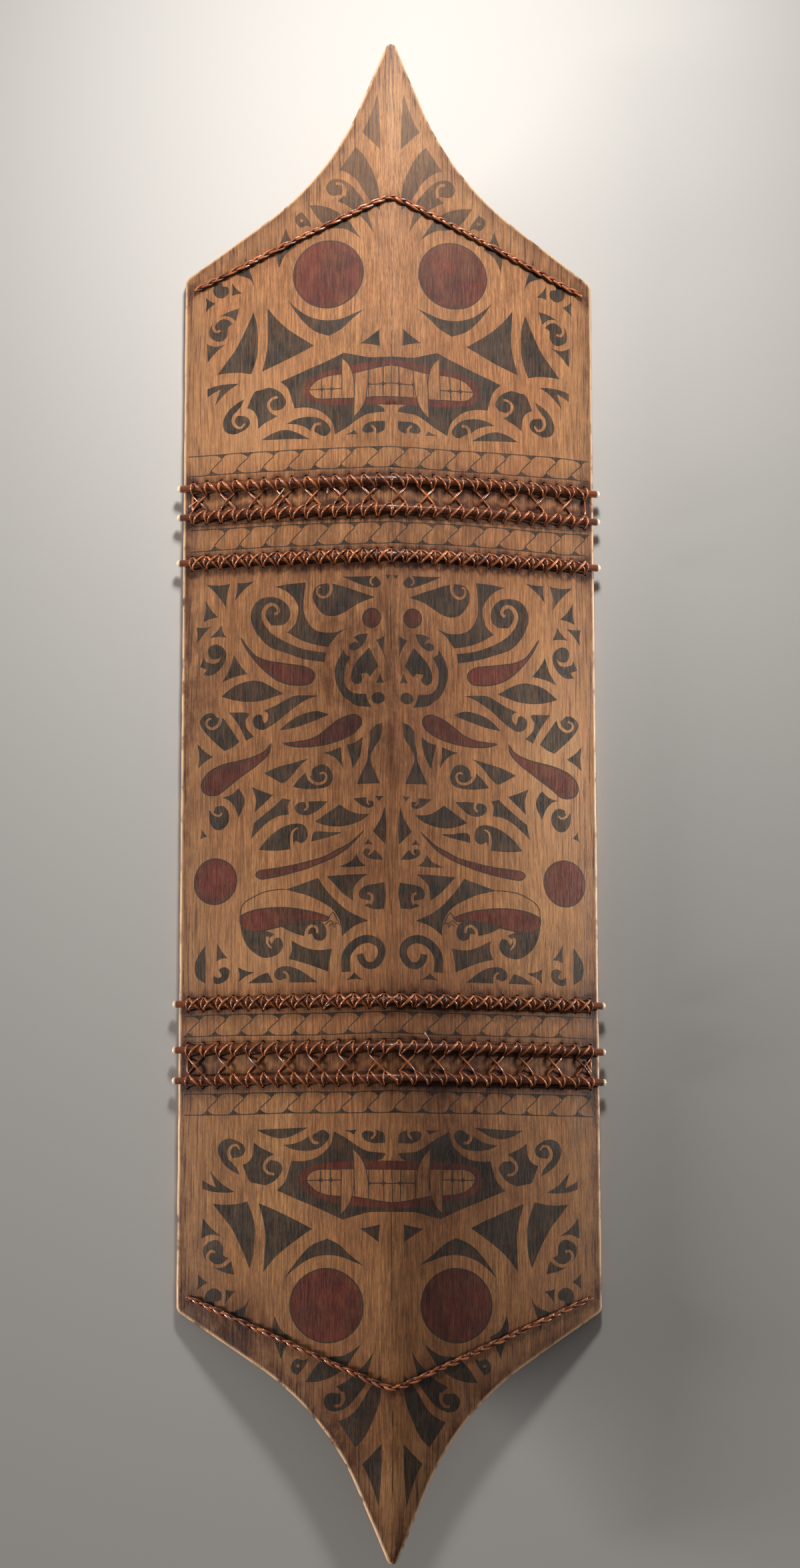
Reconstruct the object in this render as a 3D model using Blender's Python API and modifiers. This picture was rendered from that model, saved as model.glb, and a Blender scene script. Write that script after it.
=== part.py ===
"""A Dayak parrying shield: a ridged plank pointed at both ends, laced across with rattan.

Metres, +Z up. The shield lies on the long edges of its hollow back, painted front up,
its length along Y and its width along X, with the origin on the ground under its middle.
"""
import math

import bpy
import bmesh
from mathutils import Vector

# The plank, in plan
board_length = 1.262
board_width = 0.345
point_length = 0.1985            # from each tip back to its shoulders
shoulder_slope = math.radians(34)
shoulder_radius = 0.008
point_half_angle = math.radians(22.9)
point_tip_radius = 0.0048
point_hollow_radius = 0.222      # the hollow curve between the shoulder's slope and the point

# The plank, in section
ridge_rise = 0.042               # how far the ridge stands above the long edges
wing_crown = 0.004               # how far each wing bulges between ridge and edge
ridge_round = 0.006              # half the width of the rounded top of the ridge
ridge_thickness = 0.012
edge_thickness = 0.009
edge_radius = 0.003
back_edge_radius = 0.0015
rest_flat = 0.006                # the worn flat under each long edge
rest_bevel = 0.003               # from that flat to where the hollow back begins
wing_facets = 9

# The grip, carved from the plank on the hollow side
grip_length = 0.210
grip_bar_length = 0.140
grip_width = 0.030
grip_depth = 0.014
grip_ground_clearance = 0.002
grip_edge = 0.004
finger_gap_length = 0.104
finger_gap_radius = 0.008

# The rattan rods across the front
rod_diameter = 0.006
rod_overhang = 0.0045            # how far a rod's end stands past the edge of the plank
top_rod_places = (0.2490, 0.2245, 0.1850)
bottom_rod_places = (-0.1845, -0.2222, -0.2472)

# The lacing over each rod
lacing_width = 0.0016
lacing_pinch = 0.0005            # the strip's width where it goes down into its hole
lacing_thickness = 0.0009
hole_clearance = 0.0027          # from the side of a rod to the middle of its holes
top_hole_count = 29
bottom_hole_count = 28
hole_end_margin = 0.0080         # from the edge of the plank to the last hole of a row

# The plaited cord across each end
braid_width = 0.0046
braid_waist = 0.80               # thickness between two bulges of the plait, as a share
braid_plait = 0.0120             # one bulge of the plait
braid_end_margin = 0.0090        # from the edge of the plank to the end of the plait
braid_end_setback = 0.0110       # from the shoulders to the ends of the plait
braid_ridge_setback = 0.1350     # from the tip to where the plait crosses the ridge

touching_gap = 0.0003

half_width = board_width / 2
half_length = board_length / 2
shoulder_distance = half_length - point_length
hole_offset = rod_diameter / 2 + hole_clearance

for old in list(bpy.data.objects):
    bpy.data.objects.remove(old, do_unlink=True)

parts = bpy.data.collections.new("Wooden shield")
cutters = bpy.data.collections.new("Cutters")
bpy.context.scene.collection.children.link(parts)
bpy.context.scene.collection.children.link(cutters)


def finish_material(name, colour, roughness):
    material = bpy.data.materials.new(name)
    material.use_nodes = True
    shader = material.node_tree.nodes["Principled BSDF"]
    shader.inputs["Base Color"].default_value = (*colour, 1.0)
    shader.inputs["Roughness"].default_value = roughness
    shader.inputs["Metallic"].default_value = 0.0
    return material


wood = finish_material("Painted wood", (0.38, 0.19, 0.075), 0.55)
cane = finish_material("Rattan rod", (0.27, 0.085, 0.028), 0.35)
strip = finish_material("Rattan strip", (0.36, 0.12, 0.04), 0.35)
plait = finish_material("Plaited rattan", (0.30, 0.10, 0.035), 0.40)


def wing_height(x):
    """Height of the front where it slopes from the ridge to the edge."""
    share = abs(x) / half_width
    bulge = 4 * wing_crown * share * (1 - share)
    return edge_thickness + ridge_rise * (1 - share) + bulge


def front_height(x):
    """Height of the front, with the ridge rounded over."""
    if abs(x) >= ridge_round:
        return wing_height(x)
    step = 0.0001
    slope = (wing_height(ridge_round) - wing_height(ridge_round + step)) / step
    return wing_height(ridge_round) + slope * (ridge_round ** 2 - x ** 2) / (2 * ridge_round)


def front_normal(x):
    step = 0.0005
    rise = front_height(x + step) - front_height(x - step)
    return Vector((-rise, 0, 2 * step)).normalized()


def back_height(x):
    share = abs(x) / half_width
    thickness = ridge_thickness + (edge_thickness - ridge_thickness) * share
    return front_height(x) - thickness


def front_point(x, y, above):
    """A point at a height above the front, square to it."""
    return Vector((x, y, front_height(x))) + above * front_normal(x)


def front_stations():
    """Places across one wing where the front has an edge between two facets."""
    outer = half_width - edge_radius
    places = [0, ridge_round / 2]
    for i in range(wing_facets + 1):
        places.append(ridge_round + (outer - ridge_round) * i / wing_facets)
    return places


def rounded_outline(corners):
    """A closed outline from corners (x, y, radius, segments), each turned into an arc."""
    outline = []
    count = len(corners)
    for i, (x, y, radius, segments) in enumerate(corners):
        corner = Vector((x, y))
        if radius == 0:
            outline.append(corner)
            continue
        before = Vector(corners[i - 1][:2]) - corner
        after = Vector(corners[(i + 1) % count][:2]) - corner
        room = 0.85 * min(before.length, after.length)
        before.normalize()
        after.normalize()
        half_corner = before.angle(after) / 2
        radius = min(radius, room * math.tan(half_corner))
        middle = (before + after).normalized()
        centre = corner + middle * radius / math.sin(half_corner)
        start = corner + before * radius / math.tan(half_corner) - centre
        end = corner + after * radius / math.tan(half_corner) - centre
        turn = start.angle_signed(end)
        for k in range(segments + 1):
            angle = -turn * k / segments
            outline.append(centre + Vector((
                start.x * math.cos(angle) - start.y * math.sin(angle),
                start.x * math.sin(angle) + start.y * math.cos(angle))))
    return outline


def solid_from_outline(name, outline, half_thickness, axes, collection):
    """A flat outline as a 2D curve with thickness, turned into a mesh.

    axes gives the world directions of the outline's own x, y and thickness."""
    curve = bpy.data.curves.new(name, "CURVE")
    curve.dimensions = "2D"
    curve.fill_mode = "BOTH"
    curve.extrude = half_thickness
    spline = curve.splines.new("POLY")
    spline.points.add(len(outline) - 1)
    for point, place in zip(spline.points, outline):
        point.co = (place[0], place[1], 0, 1)
    spline.use_cyclic_u = True
    guide = bpy.data.objects.new(name + " outline", curve)
    collection.objects.link(guide)
    bpy.context.view_layer.update()

    evaluated = guide.evaluated_get(bpy.context.evaluated_depsgraph_get())
    mesh = bpy.data.meshes.new_from_object(evaluated)
    bpy.data.objects.remove(guide, do_unlink=True)
    x_axis, y_axis, z_axis = (Vector(axis) for axis in axes)
    bm = bmesh.new()
    bm.from_mesh(mesh)
    bmesh.ops.remove_doubles(bm, verts=bm.verts, dist=0.000001)
    for vertex in bm.verts:
        place = vertex.co.copy()
        vertex.co = x_axis * place.x + y_axis * place.y + z_axis * place.z
    bmesh.ops.recalc_face_normals(bm, faces=bm.faces)
    bm.to_mesh(mesh)
    bm.free()
    solid = bpy.data.objects.new(name, mesh)
    collection.objects.link(solid)
    return solid


def boolean(target, cutter, operation):
    cutter.hide_render = True
    cutter.display_type = "WIRE"
    modifier = target.modifiers.new(cutter.name, "BOOLEAN")
    modifier.object = cutter
    modifier.operation = operation
    modifier.solver = "EXACT"


def shade(piece, material, sharp_angle):
    piece.data.materials.clear()
    piece.data.materials.append(material)
    piece.data.shade_smooth()
    piece.data.set_sharp_from_angle(angle=sharp_angle)


def section_outline():
    """The plank's section: up over the ridge on the front, back under it on the hollow side."""
    side = [(x, front_height(x), 0, 0) for x in front_stations()]
    side.append((half_width, front_height(half_width), edge_radius, 2))
    side.append((half_width, 0, back_edge_radius, 1))
    side.append((half_width - rest_flat, 0, 0, 0))
    inner = half_width - rest_flat - rest_bevel
    for i in range(wing_facets):
        x = inner * (1 - i / wing_facets)
        side.append((x, back_height(x), 0, 0))
    ridge_back = [(0, back_height(0), 0, 0)]
    mirrored = [(-x, z, radius, segments) for x, z, radius, segments in reversed(side[1:])]
    return rounded_outline(side + ridge_back + mirrored)


def plan_outline():
    """The plank seen from above, both points and all four shoulders."""
    apex = half_length - point_tip_radius + point_tip_radius / math.sin(point_half_angle)
    point_fall = 1 / math.tan(point_half_angle)
    shoulder_fall = math.tan(shoulder_slope)
    shoulder_line = shoulder_distance + shoulder_fall * half_width
    neck_x = (apex - shoulder_line) / (point_fall - shoulder_fall)
    neck_y = apex - point_fall * neck_x
    quarter = [
        (half_width, shoulder_distance, shoulder_radius, 3),
        (neck_x, neck_y, point_hollow_radius, 8),
    ]
    top_tip = [(0, apex, point_tip_radius, 4)]
    bottom_tip = [(0, -apex, point_tip_radius, 4)]
    top_left = [(-x, y, radius, segments) for x, y, radius, segments in reversed(quarter)]
    bottom_left = [(-x, -y, radius, segments) for x, y, radius, segments in quarter]
    bottom_right = [(x, -y, radius, segments) for x, y, radius, segments in reversed(quarter)]
    return rounded_outline(quarter + top_tip + top_left + bottom_left + bottom_tip + bottom_right)


def grip_outline():
    """The grip from the side: its foot in the plank, sloping down to the bar at both ends."""
    root = back_height(0) + ridge_thickness / 2
    bar = grip_bar_length / 2
    foot = grip_length / 2
    bend = 0.012
    return rounded_outline([
        (foot, root, 0, 0),
        (foot, back_height(0), 0, 0),
        (bar, grip_ground_clearance, bend, 3),
        (-bar, grip_ground_clearance, bend, 3),
        (-foot, back_height(0), 0, 0),
        (-foot, root, 0, 0),
    ])


def finger_gap_outline():
    """The gap cut through the grip block, from the bar up past the block's own top."""
    end = finger_gap_length / 2
    floor = grip_ground_clearance + grip_depth
    roof = back_height(0) + ridge_thickness
    return rounded_outline([
        (end, roof, 0, 0), (-end, roof, 0, 0),
        (-end, floor, finger_gap_radius, 3), (end, floor, finger_gap_radius, 3),
    ])


def make_board():
    across_up = ((1, 0, 0), (0, 0, 1), (0, -1, 0))
    seen_from_above = ((1, 0, 0), (0, 1, 0), (0, 0, 1))
    along_up = ((0, 1, 0), (0, 0, 1), (1, 0, 0))
    tall = ridge_rise + ridge_thickness + edge_thickness + wing_crown

    board = solid_from_outline("board", section_outline(), half_length + 0.02, across_up, parts)
    plan = solid_from_outline("plan cutter", plan_outline(), tall, seen_from_above, cutters)
    grip = solid_from_outline("grip block", grip_outline(), grip_width / 2, along_up, cutters)
    gap = solid_from_outline("finger gap", finger_gap_outline(), grip_width, along_up, cutters)

    bevel = grip.modifiers.new("Worn edges", "BEVEL")
    bevel.width = grip_edge
    bevel.segments = 2
    bevel.limit_method = "ANGLE"
    bevel.angle_limit = math.radians(60)

    boolean(grip, gap, "DIFFERENCE")
    boolean(board, plan, "INTERSECT")
    boolean(board, grip, "UNION")
    shade(board, wood, math.radians(30))


def make_tube(name, places, radius, sizes, sides, material):
    """A round rod or cord along its places. sizes swells or thins it at each place."""
    curve = bpy.data.curves.new(name, "CURVE")
    curve.dimensions = "3D"
    curve.bevel_depth = radius
    curve.bevel_resolution = (sides - 4) // 2
    curve.use_fill_caps = True
    spline = curve.splines.new("POLY")
    spline.points.add(len(places) - 1)
    for point, place, size in zip(spline.points, places, sizes):
        point.co = (*place, 1)
        point.radius = size
    curve.materials.append(material)
    tube = bpy.data.objects.new(name, curve)
    parts.objects.link(tube)


def make_rod(name, y):
    """One cane bent over the ridge, its ends standing past the plank."""
    above = rod_diameter / 2 + touching_gap
    half = [front_point(x, y, above) for x in front_stations()]
    last_step = half[-1] - half[-2]
    reach = half_width + rod_overhang - half[-1].x
    half.append(half[-1] + last_step * reach / last_step.x)
    mirrored = [Vector((-place.x, place.y, place.z)) for place in reversed(half[1:])]
    places = mirrored + half
    make_tube(name, places, rod_diameter / 2, [1] * len(places), 6, cane)


def stitch_path(rod_place, count, lean):
    """Places along one lacing strip, each with whether it is at a hole.

    A straight stitch goes over the rod at every hole and a slanting one on to the next.
    lean 1 slants down towards +X, and -1 slants up."""
    clear = rod_diameter + 3 * touching_gap
    bend_offset = rod_diameter * 0.32
    mouth_offset = hole_offset - 0.0006
    mouth_height = 0.0012
    first = -half_width + hole_end_margin
    pitch = 2 * (half_width - hole_end_margin) / (count - 1)
    start = -lean
    path = []
    for i in range(count):
        x = first + pitch * i
        path.append((x, rod_place + start * mouth_offset, mouth_height, True))
        path.append((x, rod_place + start * bend_offset, clear, False))
        path.append((x, rod_place - start * bend_offset, clear, False))
        path.append((x, rod_place - start * mouth_offset, mouth_height, True))
        if i < count - 1:
            path.append((x + pitch / 3, rod_place - start * bend_offset, clear, False))
            path.append((x + pitch * 2 / 3, rod_place + start * bend_offset, clear, False))
    return path


def make_lacing(name, rod_place, count, lean):
    """A flat strip with a crowned outer face, lofted along its stitches.

    A curve's bevel would twist at each stitch, so the three-cornered section is placed by
    hand: two corners on the flat underside, mitred at the turns, and one on the crown."""
    path = stitch_path(rod_place, count, lean)
    places = [front_point(x, y, above) for x, y, above, at_hole in path]
    bm = bmesh.new()
    rings = []
    for i, place in enumerate(places):
        into = (place - places[i - 1]).normalized() if i else None
        out = (places[i + 1] - place).normalized() if i + 1 < len(places) else None
        into = into or out
        out = out or into
        along = (into + out).normalized()
        up = front_normal(path[i][0])
        at_hole = path[i][3]
        if at_hole and into is not out:
            outward = into.cross(out).normalized()
            outward = outward if outward.dot(up) > 0 else -outward
            spread = 1 / max(math.cos(into.angle(out) / 2), 0.2)
        else:
            outward = (up - along * up.dot(along)).normalized()
            spread = 1
        width = lacing_pinch if at_hole else lacing_width
        side = along.cross(outward).normalized() * spread * width / 2
        crown = place + outward * lacing_thickness
        rings.append([bm.verts.new(corner) for corner in (place - side, place + side, crown)])
    for near, far in zip(rings, rings[1:]):
        for k in range(3):
            following = (k + 1) % 3
            bm.faces.new((near[k], near[following], far[following], far[k]))
    bm.faces.new(rings[0][::-1])
    bm.faces.new(rings[-1])
    bmesh.ops.triangulate(bm, faces=bm.faces)
    bmesh.ops.recalc_face_normals(bm, faces=bm.faces)
    mesh = bpy.data.meshes.new(name)
    bm.to_mesh(mesh)
    bm.free()
    lacing = bpy.data.objects.new(name, mesh)
    parts.objects.link(lacing)
    shade(lacing, strip, math.radians(40))


def make_braid(name, end_place, ridge_place):
    """The plaited cord, straight in plan from each end up to the ridge, bulging at each plait."""
    reach = half_width - braid_end_margin
    length = math.hypot(reach, ridge_place - end_place)
    bulges = round(length / braid_plait)
    above = braid_width / 2 + touching_gap
    half = []
    for i in range(2 * bulges + 1):
        share = i / (2 * bulges)
        x = reach * share
        half.append(front_point(x, ridge_place + (end_place - ridge_place) * share, above))
    mirrored = [Vector((-place.x, place.y, place.z)) for place in reversed(half[1:])]
    places = mirrored + half
    sizes = [1 if i % 2 else braid_waist for i in range(len(places))]
    make_tube(name, places, braid_width / 2, sizes, 6, plait)


make_board()
leans = (1, -1, 1, 1, -1, 1)
hole_counts = (top_hole_count,) * 3 + (bottom_hole_count,) * 3
for number, place in enumerate(top_rod_places + bottom_rod_places):
    make_rod(f"rod_{number + 1}", place)
    make_lacing(f"lacing_{number + 1}", place, hole_counts[number], leans[number])
braid_end_place = shoulder_distance - braid_end_setback
braid_ridge_place = half_length - braid_ridge_setback
make_braid("braid_top", braid_end_place, braid_ridge_place)
make_braid("braid_bottom", -braid_end_place, -braid_ridge_place)
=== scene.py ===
"""How the Dayak parrying shield looks: its painted board, its rattan rods, lacing and braids.

Metres, +Z up. The shield lies front up on the long edges of its hollow back, its length along Y.
The painting's own measures are in millimetres from the middle of the board.
"""
import math

import bpy
import numpy as np
from mathutils import Matrix, Vector, geometry, noise


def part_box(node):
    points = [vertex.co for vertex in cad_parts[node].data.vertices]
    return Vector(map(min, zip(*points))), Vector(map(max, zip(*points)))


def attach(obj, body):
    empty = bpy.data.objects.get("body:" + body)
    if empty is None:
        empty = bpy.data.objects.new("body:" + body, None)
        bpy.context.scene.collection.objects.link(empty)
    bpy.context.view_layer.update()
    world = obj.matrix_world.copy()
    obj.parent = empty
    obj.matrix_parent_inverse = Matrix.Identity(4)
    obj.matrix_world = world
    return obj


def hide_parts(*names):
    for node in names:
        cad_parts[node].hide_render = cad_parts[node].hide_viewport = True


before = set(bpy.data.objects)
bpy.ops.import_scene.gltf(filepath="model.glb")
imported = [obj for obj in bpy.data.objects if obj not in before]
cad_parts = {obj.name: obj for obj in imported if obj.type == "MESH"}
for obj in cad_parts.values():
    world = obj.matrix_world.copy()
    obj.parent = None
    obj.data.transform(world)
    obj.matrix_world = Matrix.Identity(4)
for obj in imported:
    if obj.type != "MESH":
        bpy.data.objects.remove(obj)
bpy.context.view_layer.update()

# Camera, floor and light
# The camera looks down on the shield where it lies, at the angle of the photograph. The key
# light stands beyond the top end, so the rods and braids throw their shadows down the board,
# and two low lights graze the wings from the right and from the left.
camera_data = bpy.data.cameras.new("Camera")
camera_data.sensor_width = 36.0
camera_data.lens = 81.13
camera_data.clip_end = 20.0
camera = bpy.data.objects.new("Camera", camera_data)
bpy.context.scene.collection.objects.link(camera)
bpy.context.scene.camera = camera
aim_height = 0.009
camera_side_lean = math.radians(-2.975)
camera_tilt = math.radians(9.851)
camera_roll = math.radians(-0.0865)
camera_offset = (0.00888, 0.0001, 2.9304)
camera.matrix_world = (
    Matrix.Translation((0, 0, aim_height))
    @ Matrix.Rotation(camera_side_lean, 4, "Y")
    @ Matrix.Rotation(camera_tilt, 4, "X")
    @ Matrix.Rotation(camera_roll, 4, "Z")
    @ Matrix.Translation(camera_offset))


def studio_light(name, kind, place, target, power, colour):
    """A lamp at a place, hidden from the camera, that faces its target."""
    light = bpy.data.lights.new(name, kind)
    light.energy = power
    light.color = colour
    lamp = bpy.data.objects.new(name, light)
    lamp.visible_camera = False
    lamp.location = place
    lamp.rotation_euler = (Vector(target) - Vector(place)).to_track_quat("-Z", "Y").to_euler()
    bpy.context.scene.collection.objects.link(lamp)
    return lamp


warm_white = (1.0, 0.97, 0.93)
cooler_white = (1.0, 0.98, 0.96)
key_light = studio_light("Key light", "AREA", (0.10, 1.30, 0.95), (0, 0.40, 0), 3.3, warm_white)
key_light.data.size = 0.26
key_light.data.spread = math.radians(66)
right_light = studio_light(
    "Right light", "AREA", (2.3, 0.16, 0.19), (0.16, 0.06, 0.02), 3.9, cooler_white)
right_light.data.size = 0.34
right_light.data.spread = math.radians(42)
left_light = studio_light(
    "Left light", "SUN", (-3.4, -0.48, 0.46), (-0.1, -0.24, 0.02), 3.9, warm_white)
left_light.data.angle = math.radians(12)

world = bpy.data.worlds.new("Studio")
world.use_nodes = True
world.node_tree.nodes["Background"].inputs["Color"].default_value = (1.0, 0.96, 0.92, 1.0)
world.node_tree.nodes["Background"].inputs["Strength"].default_value = 0.10
bpy.context.scene.world = world
bpy.context.scene.view_settings.view_transform = "Standard"

floor_reach = 30.0
floor_mesh = bpy.data.meshes.new("Floor")
floor_mesh.from_pydata(
    [(x * floor_reach, y * floor_reach, 0) for x, y in ((-1, -1), (1, -1), (1, 1), (-1, 1))],
    [], [(0, 1, 2, 3)])
floor = bpy.data.objects.new("Floor", floor_mesh)
bpy.context.scene.collection.objects.link(floor)
floor_material = bpy.data.materials.new("Pale floor")
floor_material.use_nodes = True
floor_shader = floor_material.node_tree.nodes["Principled BSDF"]
floor_shader.inputs["Base Color"].default_value = (0.64, 0.625, 0.605, 1)
floor_shader.inputs["Roughness"].default_value = 0.75
floor_mesh.materials.append(floor_material)

# The right light is flagged off the floor, as with a black card, so it leaves no pool there.
kept_dark = bpy.data.collections.new("Flagged off the right light")
kept_dark.objects.link(floor)
kept_dark.collection_objects[0].light_linking.link_state = "EXCLUDE"
right_light.light_linking.receiver_collection = kept_dark

# The board, its shape
# One plank of light wood, pointed at both ends and adzed to two wings that slope down from a rounded
# ridge, with the grip left standing on its hollow back. The sections and the plan follow the CAD
# part's, with the ridge a little sharper and less than half a millimetre lower.
board_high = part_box("board")[1]
half_width = board_high.x
half_length = board_high.y
ridge_rise = 0.0416
wing_crown = 0.004
ridge_round = 0.0032
ridge_thickness = 0.012
edge_thickness = 0.009
edge_radius = 0.003
back_edge_radius = 0.0015
rest_flat = 0.006
rest_bevel = 0.003
point_length = 0.1985
shoulder_distance = half_length - point_length
shoulder_slope = math.radians(34)
shoulder_radius = 0.008
point_half_angle = math.radians(22.9)
point_tip_radius = 0.0048
point_hollow_radius = 0.222


def wing_height(x):
    """Height of the front where it slopes from the ridge to the edge."""
    share = abs(x) / half_width
    return edge_thickness + ridge_rise * (1 - share) + 4 * wing_crown * share * (1 - share)


def front_height(x):
    """Height of the front, with the ridge rounded over."""
    if abs(x) >= ridge_round:
        return wing_height(x)
    step = 0.0001
    slope = (wing_height(ridge_round) - wing_height(ridge_round + step)) / step
    return wing_height(ridge_round) + slope * (ridge_round ** 2 - x ** 2) / (2 * ridge_round)


def front_normal(x):
    step = 0.0005
    rise = front_height(x + step) - front_height(x - step)
    return Vector((-rise, 0, 2 * step)).normalized()


def front_point(x, y, above):
    """A point at a height above the front, square to it."""
    return Vector((x, y, front_height(x))) + above * front_normal(x)


def back_height(x):
    """Height of the hollow back, down to the worn flats that the board lies on."""
    inner = half_width - rest_flat - rest_bevel
    place = min(abs(x), inner)
    share = place / half_width
    thickness = ridge_thickness + (edge_thickness - ridge_thickness) * share
    hollow = front_height(place) - thickness
    return hollow * (1 - min(1, (abs(x) - place) / rest_bevel))


def rounded_corner(before, corner, after, radius, segments):
    """The places of an arc that rounds a corner."""
    to_before = (before - corner).normalized()
    to_after = (after - corner).normalized()
    half_corner = to_before.angle(to_after) / 2
    centre = corner + (to_before + to_after).normalized() * radius / math.sin(half_corner)
    start = corner + to_before * radius / math.tan(half_corner) - centre
    end = corner + to_after * radius / math.tan(half_corner) - centre
    turn = start.angle_signed(end)
    return [centre + Matrix.Rotation(-turn * k / segments, 2) @ start for k in range(segments + 1)]


def plan_outline():
    """The board seen from above, anticlockwise, with a place at most every few millimetres."""
    apex = half_length - point_tip_radius + point_tip_radius / math.sin(point_half_angle)
    point_fall = 1 / math.tan(point_half_angle)
    shoulder_fall = math.tan(shoulder_slope)
    shoulder_line = shoulder_distance + shoulder_fall * half_width
    neck_x = (apex - shoulder_line) / (point_fall - shoulder_fall)
    tip = Vector((0, apex))
    neck = Vector((neck_x, apex - point_fall * neck_x))
    shoulder = Vector((half_width, shoulder_distance))
    other_neck = Vector((-neck.x, neck.y))
    side = [Vector((half_width, 0))]
    side += rounded_corner(Vector((half_width, 0)), shoulder, neck, shoulder_radius, 8)
    side += rounded_corner(shoulder, neck, tip, point_hollow_radius, 24)
    tip_steps = 12
    side += rounded_corner(neck, tip, other_neck, point_tip_radius, tip_steps)[:tip_steps // 2 + 1]
    left = [Vector((-place.x, place.y)) for place in reversed(side[:-1])]
    upper = side + left
    lower = [Vector((-place.x, -place.y)) for place in upper[1:-1]]
    outline = []
    corners = upper + lower
    spacing = 0.006
    for start, end in zip(corners, corners[1:] + corners[:1]):
        steps = max(1, round((end - start).length / spacing))
        outline += [start.lerp(end, k / steps) for k in range(steps)]
    return outline


def outward_normals(outline):
    """The direction out of an anticlockwise outline at each of its places."""
    places = np.array(outline)
    along = np.roll(places, -1, 0) - np.roll(places, 1, 0)
    along /= np.linalg.norm(along, axis=1)[:, None]
    return np.column_stack((along[:, 1], -along[:, 0]))


# The board, its painting
# Figures are drawn on the left wing, in millimetres, and mirrored across the ridge. The mask is
# drawn at the top end and turned over for the bottom end. A hand's unevenness bends every copy.
BARE, CHARCOAL, RED, LINE = range(4)
on_panel = ((1, 1), (-1, 1))
on_masks = ((1, 1), (-1, 1), (1, -1), (-1, -1))
line_width = 0.9
painting = []


def smooth_run(places):
    """A smooth curve through its places, as short straight steps."""
    spacing = 2.6
    padded = [places[0]] + places + [places[-1]]
    run = []
    for before, start, end, after in zip(padded, padded[1:], padded[2:], padded[3:]):
        before, start, end, after = (np.array(place, float) for place in (before, start, end, after))
        steps = max(1, math.ceil(np.linalg.norm(end - start) / spacing))
        if len(places) == 2:
            steps = 1
        for k in range(steps):
            t = k / steps
            run.append(0.5 * (2 * start + (end - before) * t
                              + (2 * before - 5 * start + 4 * end - after) * t ** 2
                              + (3 * start - before - 3 * end + after) * t ** 3))
    return run + [np.array(places[-1], float)]


def figure(*sides):
    """A closed outline. Each side is a list: the corner where it starts, then what it passes."""
    outline = []
    for side, following in zip(sides, sides[1:] + sides[:1]):
        outline += smooth_run(list(side) + [following[0]])[:-1]
    return outline


def thorn(*corners, bow=-0.05):
    """Corners joined by sides that bow out, or in where bow is negative, by a share of their length."""
    outline = []
    middle = np.mean(np.array(corners, float), axis=0)
    for start, end in zip(corners, corners[1:] + corners[:1]):
        start, end = np.array(start, float), np.array(end, float)
        across = np.array((end[1] - start[1], start[0] - end[0]))
        if np.dot(across, (start + end) / 2 - middle) < 0:
            across = -across
        outline += smooth_run([start, (start + end) / 2 + across * bow, end])[:-1]
    return outline


def disc(x, y, radius, radius_y=None):
    count = max(16, round(radius * 1.6))
    turns = [2 * math.pi * k / count for k in range(count)]
    return [np.array((x + radius * math.cos(turn), y + (radius_y or radius) * math.sin(turn)))
            for turn in turns]


def offset_run(run, widths):
    """Both sides of a line with its width at each place."""
    run = np.array(run, float)
    along = np.gradient(run, axis=0)
    along /= np.linalg.norm(along, axis=1)[:, None]
    across = np.column_stack((-along[:, 1], along[:, 0])) * (np.array(widths) / 2)[:, None]
    return list(run + across) + list((run - across)[::-1])


def stroke(places, start_width, end_width):
    """A brush stroke along its places, tapering from one width to the other."""
    run = smooth_run(list(places))
    return offset_run(run, np.linspace(start_width, end_width, len(run)))


def grown(outline, by):
    """An outline moved outwards."""
    places = np.array(outline, float)
    along = np.roll(places, -1, 0) - np.roll(places, 1, 0)
    along /= np.maximum(np.linalg.norm(along, axis=1)[:, None], 1e-6)
    turns_left = np.sum(places[:, 0] * np.roll(places[:, 1], -1)
                        - np.roll(places[:, 0], -1) * places[:, 1]) > 0
    out = np.column_stack((along[:, 1], -along[:, 0])) * (1 if turns_left else -1)
    return list(places + out * by)


# Without a seed, noise_vector gives other values in every run
noise.seed_set(5)


def hand_wander(x, y):
    """How far the painter's hand strays at a place, smoothly, up to about a millimetre."""
    drift = noise.noise_vector(Vector((x / 70, y / 70, 3.1)))
    shake = noise.noise_vector(Vector((x / 16, y / 16, 8.7)))
    return 1.3 * drift.x + 0.35 * shake.x, 1.1 * drift.y + 0.35 * shake.y


def paint(colour, outlines, copies=((1, 1),)):
    """Adds outlines to the painting, once for each mirror image in copies."""
    for outline in outlines:
        for flip_x, flip_y in copies:
            places = []
            for x, y in outline:
                side, end = x * flip_x, y * flip_y
                stray_x, stray_y = hand_wander(side, end)
                places.append((side + stray_x, end + stray_y))
            painting.append((colour, np.array(places)))


def paint_line(runs, copies=((1, 1),), width=line_width):
    paint(LINE, [stroke(run, width, width) for run in runs], copies)


def paint_outlined(outlines, copies=((1, 1),)):
    """Red figures, each inside its thin dark outline."""
    paint(LINE, [grown(outline, 0.65) for outline in outlines], copies)
    paint(RED, [grown(outline, -0.55) for outline in outlines], copies)


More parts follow.
